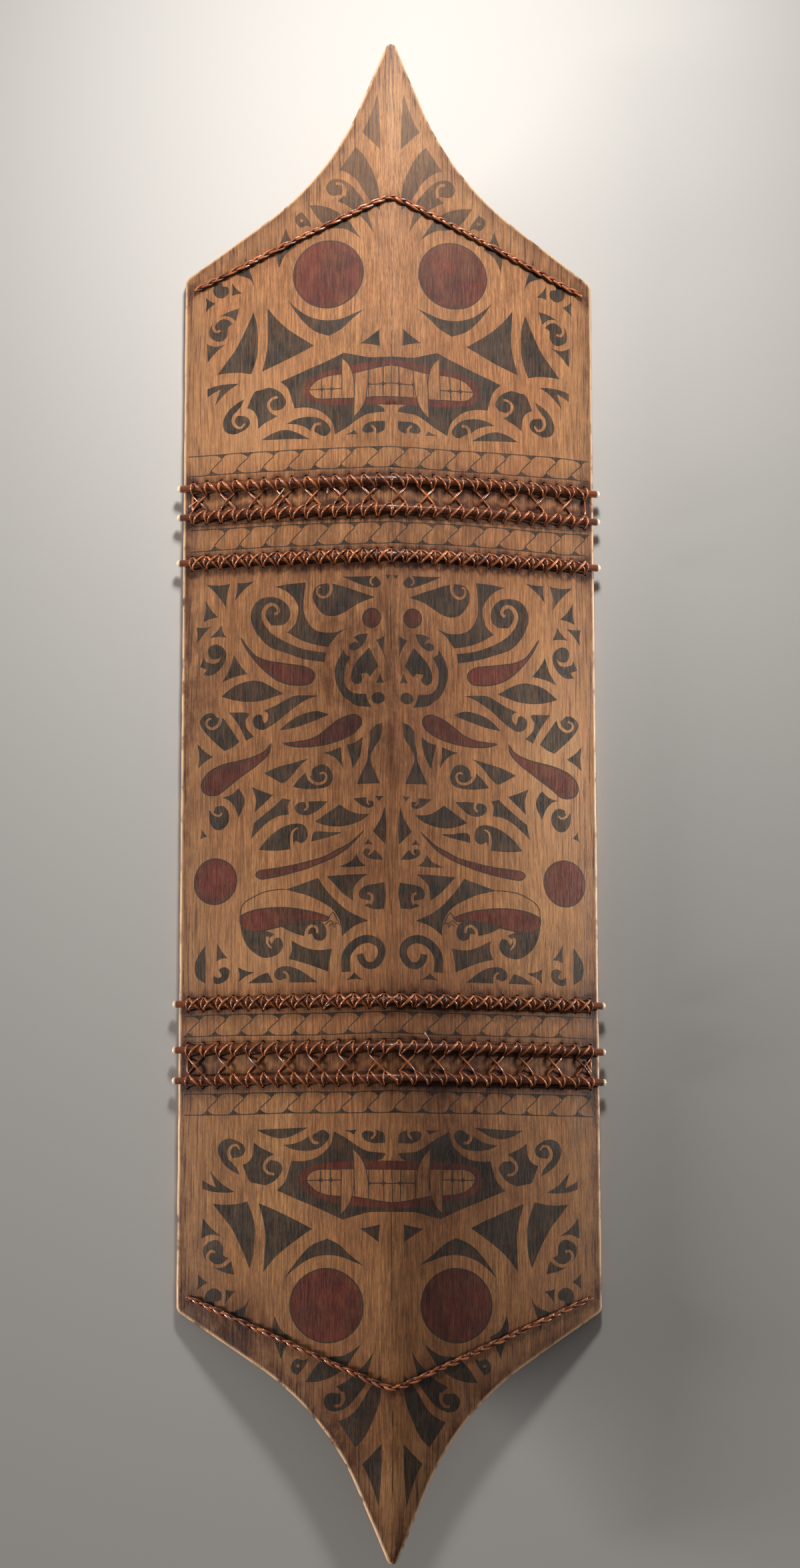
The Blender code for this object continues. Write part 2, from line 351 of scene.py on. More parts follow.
# The painting of the masks: the point's blades and curls, the eyes, the cheeks and the mouth
paint(CHARCOAL, [
    figure([(-11, 587), (-18, 565)], [(-24, 553), (-16, 545)], [(-8.5, 537), (-9, 560)]),
    figure([(-29.5, 540), (-22, 532), (-16, 520), (-12, 510), (-9.5, 500)],
           [(-9, 483), (-17, 492), (-22, 500), (-28, 510), (-36, 517)], [(-43, 520)]),
    figure([(-22, 492), (-28, 500), (-34, 507), (-40, 511), (-47, 512.5), (-52, 510),
            (-54.5, 505), (-53, 500), (-49, 497.5), (-43, 498)], [(-40, 497)],
           [(-45, 492.5), (-38, 489), (-30, 483), (-20, 472)], [(-15, 464), (-19, 479)]),
    figure([(-69, 489.5), (-60, 489), (-50, 486), (-42, 481), (-35, 474), (-30, 466)],
           [(-25, 458.5), (-32, 464), (-40, 468), (-49, 469), (-56, 472), (-62, 478), (-66, 484)]),
    figure([(-75, 484), (-79.5, 481), (-80, 475), (-76, 470.5), (-71, 472)],
           [(-67, 470), (-69, 476)]),
    figure([(-88, 471), (-85, 462)], [(-79, 454), (-88, 448)], [(-93.5, 436.5), (-95, 446), (-93, 456)]),
    figure([(-121, 449), (-117.5, 436)], [(-113, 421), (-118, 429)], [(-130, 434), (-124, 440)]),
    figure([(-145, 427.5), (-149, 423), (-147.5, 416.5), (-141.5, 413.7), (-136, 417.5),
            (-136.5, 423.5), (-141, 424.5)], [(-141, 428)]),
    thorn((-133, 427), (-124.5, 416.5), (-133, 415)),
    thorn((-155.5, 415.5), (-147, 409.5), (-155, 402.5)),
    figure([(-126.5, 403.5), (-136, 401), (-145, 396), (-150.5, 389), (-151, 381), (-146, 376.5),
            (-140, 376), (-136, 381), (-135.5, 388)], [(-130, 390.5), (-128, 397)]),
    figure([(-153.5, 374.5), (-146, 371.5)], [(-137.5, 373), (-146, 366)], [(-152.5, 358)]),
    figure([(-114.5, 399), (-111.5, 388), (-110.5, 375), (-111, 362)],
           [(-116.5, 345.5), (-125, 347.5), (-135, 348)],
           [(-144.5, 347), (-137, 357), (-130, 366), (-124, 377), (-119, 388)]),
    figure([(-103, 402), (-102.5, 390), (-102, 375), (-103.5, 362)],
           [(-107.5, 347), (-95, 352), (-80, 359)],
           [(-64, 367.5), (-75, 375), (-87, 384), (-96, 393)]),
    figure([(-86, 408), (-80, 398), (-72, 388), (-63, 380)],
           [(-51.5, 375.5), (-42, 380.5), (-35, 387), (-28, 393)],
           [(-22, 397.5), (-30, 394.5), (-40, 390.5), (-50, 389), (-60, 390), (-70, 394), (-80, 401.5)]),
    thorn((-25.5, 368), (-10, 379), (-9.5, 364.5), bow=-0.02),
    figure([(0, 354.5), (-18, 355), (-28, 357.5)],
           [(-39.5, 360.5), (-55, 353), (-70, 346.5), (-85, 340)],
           [(-92.5, 337), (-86, 330), (-82.5, 320)],
           [(-80.5, 313.5), (-70, 313.5), (-60, 310.5), (-53, 305), (-48.5, 299)],
           [(-46.5, 289.5), (-35, 296), (-28, 301), (-20, 305.5), (-10, 307)],
           [(-5, 307.5), (-7, 311.5)], [(-12, 313.5)], [(0, 313.5)]),
    figure([(-102, 333), (-110, 331), (-114.5, 329.5)], [(-120, 316.5), (-115, 314), (-111.5, 308)],
           [(-110.5, 298), (-105, 302.5), (-99, 305.5)], [(-94.5, 308), (-100, 311), (-96, 312.8),
            (-91, 313.8), (-87.5, 319), (-90, 325), (-95, 330)]),
    figure([(-122.5, 324.5), (-130, 320), (-136, 314), (-139.5, 306), (-139, 300), (-136, 296),
            (-130, 294.5), (-124, 296.5), (-119, 300), (-117.5, 304), (-119, 308), (-122, 309.8),
            (-128, 311)], [(-128, 315), (-124.5, 319)]),
    figure([(-126.5, 338), (-135, 338.5), (-145, 337.5)], [(-152.5, 335)],
           [(-152.5, 328), (-147, 331.5)], [(-142, 334), (-144, 328)],
           [(-146.5, 320.5), (-141, 327), (-135, 333)]),
    figure([(-87, 300.5), (-80, 304), (-70, 305.5), (-60, 304), (-54, 300), (-50.5, 295),
            (-50.5, 291.5), (-54, 288.5), (-58, 289), (-61.5, 291.5)], [(-65.5, 292), (-70, 296),
            (-78, 299.5)]),
    figure([(-107.5, 288), (-100, 292.5), (-90, 295.5), (-80, 293.5)], [(-67, 286.5), (-87, 287.6)]),
    thorn((-39, 288.5), (-30, 292.5), (-27.5, 288.5), bow=-0.04),
    figure([(-24, 292), (-22, 296.5), (-16, 299.3), (-10, 299.5)], [(-5, 299.5), (-5.5, 293),
            (-8, 290.5)], [(-13.5, 288.5)], [(-13.5, 291), (-18, 289.7), (-22, 290)]),
], on_masks)
paint(BARE, [
    stroke([(-46, 508), (-41.5, 507.5), (-39, 503), (-40, 497)], 2.2, 3.4),
    stroke([(-130, 391), (-135, 395.5), (-141, 396.5), (-146.5, 393), (-148, 388),
            (-145.5, 384.5), (-142, 385.5)], 3.2, 2),
    stroke([(-86, 308), (-92, 309.5), (-98, 311.5), (-101.5, 315), (-102, 320), (-98.5, 323.5),
            (-94.5, 324)], 3.2, 2),
    stroke([(-121, 312.5), (-126, 313), (-130, 310.5), (-131, 305), (-128.5, 300.8),
            (-124.5, 300), (-122, 303.5)], 4, 1.5),
    stroke([(-63, 289), (-65, 294), (-62.5, 298.5), (-58.5, 298.8)], 3, 2.2),
    stroke([(-13.5, 288), (-13.5, 293), (-16.5, 296)], 2.4, 1.6),
    disc(-75, 476.5, 1.3),
], on_masks)
paint_outlined([disc(-52.3, 428.7, 28.9)], on_masks)

# The mouth: the red lips, the teeth on bare wood, and the two fangs that cross the lips
paint(RED, [figure(
    [(0, 352.5), (-20, 350.5), (-42, 347), (-50, 345.5), (-62, 342), (-70, 337), (-74, 329),
     (-70, 320), (-62, 316.5), (-50, 315), (-35, 314)], [(0, 313.5)])], on_masks)
teeth = figure(
    [(0, 347), (-10, 346), (-30, 342), (-42, 341.5), (-52, 340.5), (-62, 336.5), (-68.5, 328.5),
     (-65, 322.5), (-58, 320.3), (-40, 320.3)], [(0, 320.5)])
paint(LINE, [grown(teeth, 0.4)], on_masks)
paint(BARE, [grown(teeth, -0.35)], on_masks)
paint_line([
    [(-68, 328.7), (-55, 328.7), (-41, 328.7)], [(-57.8, 339), (-57.3, 321)], [(-49, 341), (-49.4, 320)],
    [(-19, 345), (-18.5, 321)], [(-6.5, 346.5), (-6.8, 321)],
    [(-24, 331.6), (-12, 331.4), (0, 331.8)],
], on_masks)
paint(LINE, [thorn((x - 2.8, y), (x, y + 2.8), (x + 2.8, y), (x, y - 2.8), bow=-0.14)
             for x, y in ((-57.5, 328.7), (-49.2, 328.7), (-18.8, 331.6), (-6.7, 331.5))], on_masks)
up_fang = figure([(-41, 356), (-36, 351), (-32.5, 343), (-30.8, 333)], [(-30.5, 320)],
                 [(-40.5, 320), (-41, 338)])
down_fang = figure([(-30, 342), (-30.4, 330)], [(-31, 303.5), (-26, 309), (-21.5, 318), (-19.3, 331)],
                   [(-19, 344.3)])
for fang in (up_fang, down_fang):
    paint(LINE, [grown(fang, 0.4)], on_masks)
    paint(BARE, [grown(fang, -0.35)], on_masks)

# The rope bands, each a row of slanting strands between two border lines
rope_bands = (
    (260.0, 277.5, -149.3), (195.5, 213.5, -147.0), (-211.5, -194.0, -143.0), (-275.0, -258.0, -148.5))
strand_pitch = 21.6
strand_lean = 9.0
band_end = 168.0
for low, high, first in rope_bands:
    paint_line([[(-band_end, edge), (0, edge), (band_end, edge)] for edge in (low, high)])
    for k in range(-1, 15):
        foot = first + strand_pitch * k
        if abs(foot + strand_lean / 2) > band_end - 6:
            continue
        low_end, high_end = (foot, low + 4.4), (foot + strand_lean, high - 4.4)
        paint_line([[low_end, (foot + strand_lean * 0.40, (low + high) / 2 - 0.6), high_end]])
        corner = figure([(foot - 6, low), (foot - 2.4, low + 1.5)], [low_end, (foot + 2.6, low + 1.8),
                        (foot + 6.2, low + 0.5)], [(foot + 10, low)])
        turned = [(2 * foot + strand_lean - x, low + high - y) for x, y in corner]
        paint(CHARCOAL, [corner, turned])
paint_line([[(-166, 216.5), (0, 216.7), (166, 216.5)], [(-166, -216), (0, -216.2), (166, -216)]],
           width=0.5)

# The painting of the middle panel, its upper third
paint(CHARCOAL, [
    thorn((-153, 167), (-133, 166.5), (-136, 146.5)),
    thorn((-127, 166.5), (-112, 167.5), (-129, 151.5)),
    thorn((-153.5, 153.5), (-142.5, 138.5), (-155, 135)),
    thorn((-160.5, 131), (-148, 131), (-160, 117)),
    thorn((-140, 131.5), (-149, 121), (-136, 120.5)),
    figure([(-150.5, 110), (-149, 113.5), (-144, 115), (-138.5, 112), (-135.5, 106), (-137, 99),
            (-141, 93), (-147, 89)], [(-154.5, 89.5)], [(-151.5, 94)], [(-157.5, 96.5)],
           [(-153.5, 105), (-152.5, 101)], [(-146, 98.5), (-141.5, 100), (-139.5, 105),
            (-141, 103), (-147, 102.5), (-150, 106)]),
    disc(-145, 108.8, 5.4),
    thorn((-129, 105), (-118, 88.5), (-139, 82.5)),
    figure([(-139.5, 70.5), (-130, 78), (-120, 82), (-110, 82.5), (-100, 78.5)],
           [(-88.5, 71.5), (-105, 66.3), (-118, 65.5), (-130, 67.3)]),
    figure([(-54, 104), (-70, 107), (-85, 113), (-96, 119.5), (-101, 125)],
           [(-97, 128.5), (-90, 128.2), (-85, 132), (-83.3, 139), (-86, 146.5), (-92, 151.5), (-100, 153),
            (-108, 151), (-113.5, 145), (-115.5, 136), (-113, 127), (-108, 118), (-100, 110), (-85, 104),
            (-70, 99)], [(-55, 96)]),
    figure([(-95, 162), (-83, 163.8)], [(-70.5, 164.5), (-72.5, 146), (-71.5, 136), (-67, 127),
            (-60, 122), (-48, 120.5)], [(-37, 124), (-45, 118)], [(-52, 108.5), (-65, 111.5),
            (-75, 115.5)], [(-86, 122), (-80, 128)], [(-78, 133), (-76.5, 142), (-79.5, 150), (-86, 157.5)]),
    figure([(-50, 163), (-40, 160), (-30, 156)], [(-14, 149.5), (-25, 146), (-33, 141.5), (-42, 136),
            (-50, 134.5), (-57, 137), (-62, 143), (-65, 150), (-64.5, 157), (-61, 161.5), (-56, 163)]),
    figure([(-41, 168.5), (-28, 168)], [(-14, 168), (-11, 165), (-9, 161.5), (-12, 158), (-20, 159),
            (-30, 163)]),
    thorn((-5.5, 168.5), (-0.5, 168.5), (-3.5, 164.5)),
    figure([(-19.5, 118.7), (-26, 118.5)], [(-31.5, 115.7), (-28.5, 113)], [(-27, 110.5), (-30, 111.8),
            (-34.5, 110), (-35, 106.5), (-31, 104.7), (-26, 107), (-22, 112)]),
    figure([(-39, 106.5), (-44, 98), (-46.5, 90), (-46.5, 82), (-44, 74), (-40, 67), (-35, 63), (-30, 59),
            (-22, 57.5)], [(-17, 57), (-20, 62)], [(-22, 68.5), (-30, 69), (-35, 71.5), (-38.5, 77),
            (-39, 84), (-38, 92)], [(-34, 99.5), (-38, 102)]),
    figure([(-18.5, 107), (-15, 100)], [(-11, 91), (-14.5, 87)], [(-18, 82), (-20.5, 85.5)],
           [(-26, 85), (-24.5, 80), (-28, 76.5), (-33, 79), (-33.5, 86), (-30, 94), (-25, 100)]),
    thorn((-13, 113), (-6, 116.5), (-5, 94.5)),
    thorn((-9.5, 85.5), (-13.5, 77), (-6.5, 77)),
    disc(-12, 64.5, 5.5, 5),
    figure([(-60, 68.5), (-70, 69.5), (-80, 69.5), (-88, 65.5), (-95, 61.5)], [(-105, 57.5),
            (-101, 55), (-101, 49.5), (-104, 46.7)], [(-106, 53.5), (-109, 54.5), (-113, 51.5),
            (-113, 46), (-109.5, 42), (-104, 41.3), (-97, 45), (-90, 50.5), (-84, 56), (-76, 62),
            (-68, 66.5)]),
], on_panel)
paint(BARE, [
    stroke([(-96, 123.5), (-102, 129.5), (-105, 138), (-102.3, 144.3), (-97.5, 146.5),
            (-93.5, 144), (-92.6, 140), (-95.5, 137.8)], 4.4, 2.4),
    stroke([(-50.5, 163.5), (-50, 158), (-52.5, 152.7), (-57.5, 151.3), (-61.3, 154.5), (-61, 159.5),
            (-58.3, 160.3)], 3, 1.5),
    stroke([(-13.2, 168.8), (-17, 166), (-18, 162.5), (-15.6, 160)], 2.0, 1.2),
], on_panel)
paint_outlined([
    disc(-17, 132, 7.2, 8),
    figure([(-123.8, 119.5), (-118, 110), (-112, 103), (-103, 99), (-90, 96.3), (-78, 94.5), (-70, 92.5),
            (-64.3, 88.5), (-63.3, 84), (-66, 79.8), (-71, 78.2), (-80, 78.5), (-88, 80.5), (-97, 85),
            (-105, 91.5), (-112, 99), (-119, 109)]),
], on_panel)

# The painting of the middle panel, its middle third
paint(CHARCOAL, [
    figure([(-137.5, 52), (-130, 41)], [(-124, 31.5), (-130, 27)], [(-136.5, 24.5), (-143, 30.5),
            (-150, 37.5), (-155, 44), (-157.3, 51), (-152, 56.7), (-146, 56.7), (-143, 53)], [(-140, 53.5)]),
    figure([(-133, 57), (-117, 56)], [(-119.5, 50), (-118.5, 43)], [(-112, 35.5)], [(-118.5, 32),
            (-122, 40), (-127, 49)]),
    figure([(-91, 40.5), (-85, 46.5), (-77, 52), (-68, 55), (-60, 55.5)], [(-51.5, 52), (-60, 48.5),
            (-70, 45), (-80, 42)]),
    thorn((-159.5, 31.5), (-146.5, 20), (-159, 11)),
    figure([(-55.5, 20.5), (-50, 21.5)], [(-41.5, 24.5), (-41, 15)], [(-39.5, 6.5), (-43, 12), (-48, 17)]),
    figure([(-37, 26), (-30, 28)], [(-24, 32.5), (-26, 18)], [(-32, 6), (-34, 15)]),
    figure([(-8.5, 43.5), (-14, 41.5)], [(-18.3, 37), (-18.5, 28), (-20, 20), (-20.8, 12), (-25, 3)],
           [(-29, -6.7)], [(-10.3, -7), (-13.5, 1), (-17.3, 10), (-17.5, 17), (-14, 24), (-9.5, 31)]),
    figure([(-104, 4.5), (-92, 9.5), (-80, 12.5)], [(-67, 16), (-74, 10.5)], [(-82, 1), (-88.5, -4),
            (-95, -1)]),
    figure([(-81, -7.3), (-76, -1)], [(-70.5, 4)], [(-65.5, 1), (-64.7, 7), (-58.5, 10.7), (-52.5, 9),
            (-49.3, 4), (-48.3, -1), (-51, -6.7), (-58, -9), (-69, -9.3)]),
    figure([(-139, -14.5), (-131, -12)], [(-125.5, -7), (-121.5, -13), (-120.5, -20)], [(-125.5, -31.5),
            (-129, -22), (-134, -16.5)]),
    figure([(-114, -6.5), (-106, -10)], [(-97, -13.5)], [(-112, -27.5), (-111, -17)]),
    figure([(-149.5, -24.5), (-146, -26)], [(-144.5, -22), (-139, -21), (-134.3, -25), (-133, -31),
            (-135, -37), (-140, -41), (-145, -40), (-149, -34)]),
    thorn((-156, -39.5), (-151, -46), (-157, -48.5), bow=-0.05),
    figure([(-89.5, -16.5)], [(-82.5, -18), (-85, -23), (-84, -29.7)], [(-84, -30), (-92, -31),
            (-100, -35), (-107, -41)], [(-115, -49), (-113.5, -42)], [(-112.5, -36), (-105, -30),
            (-97, -23.5)]),
    figure([(-70, -19.7), (-61, -19.5)], [(-52.5, -20), (-59, -26), (-65, -30), (-72, -31), (-77.5, -28.5),
            (-79.3, -24), (-76.5, -20.7)]),
    figure([(-63, -36.5), (-55, -31)], [(-43, -23), (-36, -28), (-28, -31.3)], [(-18.5, -31.5),
            (-25, -37), (-35, -40.5), (-45, -41.5), (-55, -39.7)]),
    figure([(-32, -18.5), (-21, -18)], [(-19.5, -21)], [(-16, -21), (-15.3, -24.5), (-18.5, -26.7),
            (-25, -24.5)]),
    thorn((-14.5, -17), (-7.5, -17), (-11, -21.8)),
    figure([(-6.5, -25.5), (-10, -36)], [(-15.8, -46)], [(-5.5, -57), (-4.8, -42)]),
    figure([(-65.5, -53), (-63, -45)], [(-50, -46), (-41, -46.5), (-50, -49.5)]),
    figure([(-108.8, -58.5), (-103, -51), (-95, -44), (-87, -39.5), (-78, -37.5), (-71.5, -39.5),
            (-68.8, -45), (-69.5, -51), (-74, -54), (-79, -52)], [(-80, -58.5), (-95, -59.7)]),
], on_panel)
paint(BARE, [
    stroke([(-139.8, 54), (-141.5, 47.5), (-147, 43.8), (-151.7, 46.5), (-151.5, 51), (-148, 52.5)],
           3, 1.6),
    stroke([(-69, 3.5), (-66.8, -1.5), (-61.5, -5), (-55.5, -4), (-53.5, 1), (-56, 4), (-59, 3)], 2.8, 1.5),
    stroke([(-148.5, -22), (-146, -27.5), (-141.5, -29.3), (-139, -27)], 2.2, 1.4),
    stroke([(-70.3, -19), (-69, -24), (-71.5, -27)], 2.8, 1.5),
    stroke([(-80.8, -59.5), (-82, -51), (-81, -44), (-77, -41.3)], 3.4, 1.2),
    stroke([(-20.3, -18), (-20.5, -22), (-18.7, -24)], 1.6, 1),
], on_panel)
paint_outlined([
    figure([(-88, 29.3), (-78, 30), (-68, 31.5), (-60, 35), (-52, 41), (-44, 47), (-36, 50.5), (-30, 51),
            (-26, 48), (-25.5, 43), (-29, 38), (-36, 33), (-45, 29.5), (-57, 27), (-70, 25.8), (-80, 26.5)]),
    figure([(-98, 29.8), (-101, 25), (-106, 21), (-115, 17.5), (-125, 15.5), (-137, 13), (-147, 9),
            (-153, 4), (-156, -3), (-154, -9), (-149, -12), (-142, -11.5), (-136, -7), (-128, -1),
            (-118, 6), (-108, 13), (-100, 21)]),
    figure([(-23.5, -46), (-35, -56), (-45, -61), (-55, -66), (-70, -70), (-85, -73), (-100, -75),
            (-108, -76.2), (-111, -79.5), (-107, -83), (-100, -82.3), (-85, -79.3), (-70, -75.3),
            (-55, -69.8), (-45, -65.2), (-35, -58.3)]),
], on_panel)

# The painting of the middle panel, its lower third
paint(CHARCOAL, [
    thorn((-19.5, -52), (-23, -57), (-15.5, -57)),
    figure([(-14, -61), (-10, -65)], [(-7.2, -69.5), (-14, -69.3), (-20, -67.5), (-23.5, -64),
            (-22, -60.3), (-18, -60.8)], [(-16.5, -64.5)]),
    figure([(-28.5, -64), (-33, -70)], [(-42.5, -74.5), (-32, -75)], [(-21, -74.5), (-26, -70)]),
    figure([(-52.5, -82), (-36, -81.3)], [(-20, -81.3), (-26, -86), (-30.5, -92)], [(-31.5, -103),
            (-40, -96), (-47, -88)]),
    figure([(-86.5, -92.3), (-75, -88.5)], [(-59.5, -83), (-55, -90), (-48, -99), (-40, -107.5),
            (-32, -113.5)], [(-19, -119.7), (-28, -122.5), (-34, -126)], [(-40.5, -132), (-41, -124),
            (-43.5, -116), (-47.5, -110), (-53, -105.5), (-60, -101.3), (-70, -97)]),
    figure([(-21, -102.5), (-25.5, -101.5), (-27, -97), (-24.5, -92.5), (-19, -90.3), (-12, -89.3)],
           [(-6.3, -88.3), (-5.2, -99)], [(-7, -110), (-15, -110.3)], [(-22.5, -107.3), (-17.5, -104)]),
    figure([(-123.3, -119), (-110, -126.3), (-103, -126)], [(-95.3, -129.3)], [(-100, -132.5), (-98, -137),
            (-95.5, -133), (-91, -132.3), (-88.3, -138), (-91, -144), (-97, -147.3), (-105, -147.7),
            (-113, -143), (-119, -136), (-122.3, -127)]),
    figure([(-90, -123.3), (-80, -121.5), (-70, -120), (-60, -119.2), (-55, -121.5), (-52.5, -127),
            (-53, -132.5), (-57, -135.7), (-62.5, -134), (-64.5, -129.5)], [(-70.5, -131.3), (-80, -128.5)]),
    figure([(-81.5, -134.5), (-70, -140.5), (-60, -143)], [(-48.3, -142), (-50.5, -151)],
           [(-51.3, -160.5), (-65, -155), (-75, -151.8)], [(-83.5, -149.5), (-81, -142)]),
    stroke([(-37, -161), (-37, -148), (-30, -138), (-19.5, -134.5), (-10.5, -139), (-8.8, -147),
            (-13, -154.5), (-19, -156), (-24, -152.5), (-26, -146.5)], 7.4, 5.5),
    thorn((-30.5, -161.5), (-37, -167.5), (-23, -167.5)),
    figure([(-151, -136.5), (-157, -145), (-159.7, -153), (-158, -162)], [(-151, -167.5)]),
    figure([(-142, -134.5), (-138.5, -141)], [(-133.3, -147.5), (-138, -147.5)], [(-142, -149.8)]),
    figure([(-140.7, -156.5), (-136.5, -154.3), (-132, -157), (-133, -164), (-138, -167.7),
            (-144, -167.7)], [(-144.3, -161.5), (-141, -163.3), (-138, -161.5)]),
    thorn((-125, -155), (-111.5, -159.5), (-124.5, -167.5), bow=-0.07),
    figure([(-117, -168.5), (-108, -162.5)], [(-100.5, -160)], [(-96, -168.5)]),
    figure([(-60, -168.7), (-68, -162.5), (-77, -157.3), (-86, -155.3), (-92, -156.7), (-95.2, -160.5),
            (-94.5, -164.7), (-90, -166.8), (-86, -165)], [(-84.5, -168.7)]),
], on_panel)
paint(BARE, [
    stroke([(-17.3, -60), (-16.8, -63.5), (-19, -65)], 1.8, 1.2),
    stroke([(-18, -106), (-16.3, -102.5), (-16.8, -98.5), (-20, -97)], 3, 1.8),
    stroke([(-69.5, -132), (-68.3, -126), (-64.5, -123), (-60.5, -125), (-60, -129)], 3, 1.8),
    stroke([(-84.5, -169.5), (-84, -164.5), (-85.7, -160.7), (-88, -160)], 2.8, 1.4),
    stroke([(-101, -131), (-101.5, -136), (-98, -140.5)], 2.4, 1),
    stroke([(-94, -130), (-98.5, -133)], 2.6, 2),
], on_panel)
paint_outlined([
    disc(-144, -84, 17.2, 19),
    figure([(-123.3, -113.5), (-115, -110), (-103, -108), (-88, -107.5), (-75, -109), (-62, -112)],
           [(-50, -116.5), (-53, -119.3)], [(-60, -118.7), (-75, -120), (-90, -123), (-100, -125),
            (-110, -126.3), (-119, -124.5), (-123, -119.5)]),
], on_panel)
paint_line([
    [(-86.5, -92.3), (-95, -92.7), (-105, -94.5), (-113, -98), (-119.5, -102), (-122.7, -107),
     (-123.4, -114)],
    [(-51, -117), (-47.5, -112), (-46, -114), (-42.5, -121)],
    [(-54, -122.5), (-49, -119), (-46.5, -122)],
    [(-50.5, -124), (-48.5, -121.5), (-46, -125), (-45.5, -121), (-41.5, -122.5)],
], on_panel)

# The board, its mesh
# The front is cut along every painted outline and stitch hole. A rounded and slightly worn rim
# joins it to the back, each stitch hole goes right through, and the grip is let into the back.
rod_places = (0.2490, 0.2245, 0.1850, -0.1845, -0.2222, -0.2472)
hole_counts = (29, 29, 29, 28, 28, 28)
hole_offset = 0.0057
hole_end_margin = 0.0080
hole_radius = 0.00135
hole_sides = 8
mm = 0.001


def hole_row(count):
    """The places across the board of one row of stitch holes."""
    reach = half_width - hole_end_margin
    return [-reach + 2 * reach * k / (count - 1) for k in range(count)]


def inside(places, outline):
    """Which of the places lie inside an outline."""
    x, y = places[:, 0], places[:, 1]
    result = np.zeros(len(places), bool)
    for (x0, y0), (x1, y1) in zip(outline, np.roll(outline, -1, 0)):
        if y0 == y1:
            continue
        crosses = (y0 > y) != (y1 > y)
        result ^= crosses & (x < x0 + (y - y0) * (x1 - x0) / (y1 - y0))
    return result


def triangulate(loops, outlines, loose):
    """Triangles over loops, painted outlines and loose places, all in millimetres.

    Gives the places, the triangles and the number of each loop's places among them."""
    places, edges = [], []
    for outline in list(loops) + list(outlines):
        first = len(places)
        places += [Vector(place) for place in outline]
        edges += [(first + k, first + (k + 1) % len(outline)) for k in range(len(outline))]
    places += [Vector(place) for place in loose]
    found, _, triangles, origins, _, _ = geometry.delaunay_2d_cdt(places, edges, [], 0, 0.0005)
    number = {old: new for new, group in enumerate(origins) for old in group}
    rings, first = [], 0
    for loop in loops:
        rings.append([number[first + k] for k in range(len(loop))])
        first += len(loop)
    return np.array([tuple(place) for place in found]), np.array(triangles), rings


def loose_places(outline, across, spacing):
    """Places inside an outline, in lines along the board."""
    reach = half_length / mm
    rows = np.arange(-reach, reach, spacing)
    grid = np.array([(x, y + (k % 2) * spacing / 2) for k, x in enumerate(across) for y in rows])
    return grid[inside(grid, outline)]


plan = np.array(plan_outline())
plan_out = outward_normals(plan)
holes = [(x, place + side * hole_offset) for place, count in zip(rod_places, hole_counts)
         for side in (-1, 1) for x in hole_row(count)]
hole_turns = [2 * math.pi * k / hole_sides for k in range(hole_sides)]
hole_loops = [np.array([(x + hole_radius * math.cos(turn), y + hole_radius * math.sin(turn))
                        for turn in hole_turns]) / mm for x, y in holes]
front_loop = (plan - plan_out * edge_radius) / mm
back_loop = (plan - plan_out * back_edge_radius) / mm
wing_lines = np.linspace(14, half_width / mm - 8, 18)
across = sorted([0, 2, -2, 4, -4, 6.5, -6.5, *wing_lines, *(-wing_lines)])
front_places, front_triangles, front_rings = triangulate(
    [front_loop] + hole_loops, [outline for colour, outline in painting],
    loose_places(front_loop * 0.995, across, 9))
painted = np.zeros(len(front_triangles), int)
centres = front_places[front_triangles].mean(1)
for colour, outline in painting:
    low, high = outline.min(0), outline.max(0)
    near = np.flatnonzero(np.all((centres > low) & (centres < high), axis=1))
    painted[near[inside(centres[near], outline)]] = colour


def kept_triangles(places, triangles, outer, hole_middles):
    """Which triangles belong to the plank, and not to the outside or to a stitch hole."""
    middles = places[triangles].mean(1)
    kept = inside(middles, outer)
    for x, y in hole_middles:
        near = np.abs(middles[:, 1] - y / mm) < hole_radius / mm
        near &= np.abs(middles[:, 0] - x / mm) < hole_radius / mm
        kept &= ~near
    return kept


front_kept = kept_triangles(front_places, front_triangles, front_loop, holes)
inner_line = (half_width - rest_flat - rest_bevel) / mm
flat_line = (half_width - rest_flat) / mm
long_side = shoulder_distance / mm - 2
back_lines = [np.array([(x, -long_side), (x, long_side)])
              for x in (-flat_line, -inner_line, inner_line, flat_line)]
back_places, back_triangles, back_rings = triangulate(
    [back_loop] + hole_loops, back_lines, loose_places(back_loop * 0.995, across, 12))
back_kept = kept_triangles(back_places, back_triangles, back_loop, holes)


def wear(x, y):
    """How far knocks and handling have worn the rim back at a place."""
    knock = noise.noise(Vector((x * 45, y * 45, 1.7)))
    chip = noise.noise(Vector((x * 160, y * 160, 5.2)))
    return 0.00035 * max(0, knock + 0.35) + 0.0006 * max(0, chip - 0.32)


def rim_rings():
    """The rim as rings of places, from the front's loop round the edge to the back's loop."""
    rings = []
    turns = [(edge_radius, math.radians(angle), True) for angle in (22.5, 45, 67.5, 90)]
    turns += [(back_edge_radius, math.radians(angle), False) for angle in (90, 45)]
    for radius, turn, on_front in turns:
        inset = radius * (1 - math.sin(turn))
        fall = radius * (1 - math.cos(turn))
        ring = []
        for (x, y), (out_x, out_y) in zip(plan, plan_out):
            back_in = inset + wear(x, y)
            place_x, place_y = x - out_x * back_in, y - out_y * back_in
            inner_x = x - out_x * radius
            z = front_height(inner_x) - fall if on_front else back_height(inner_x) + fall
            ring.append((place_x, place_y, z))
        rings.append(ring)
    return rings


FRONT, RIM, BACK, HOLE, GRIP = range(5)
places = [(x * mm, y * mm, front_height(x * mm)) for x, y in front_places]
back_start = len(places)
places += [(x * mm, y * mm, back_height(x * mm)) for x, y in back_places]
faces = [tuple(triangle) for triangle in front_triangles[front_kept]]
face_parts = [FRONT] * len(faces)
face_paint = list(painted[front_kept])
faces += [tuple(int(k) + back_start for k in triangle[::-1]) for triangle in back_triangles[back_kept]]

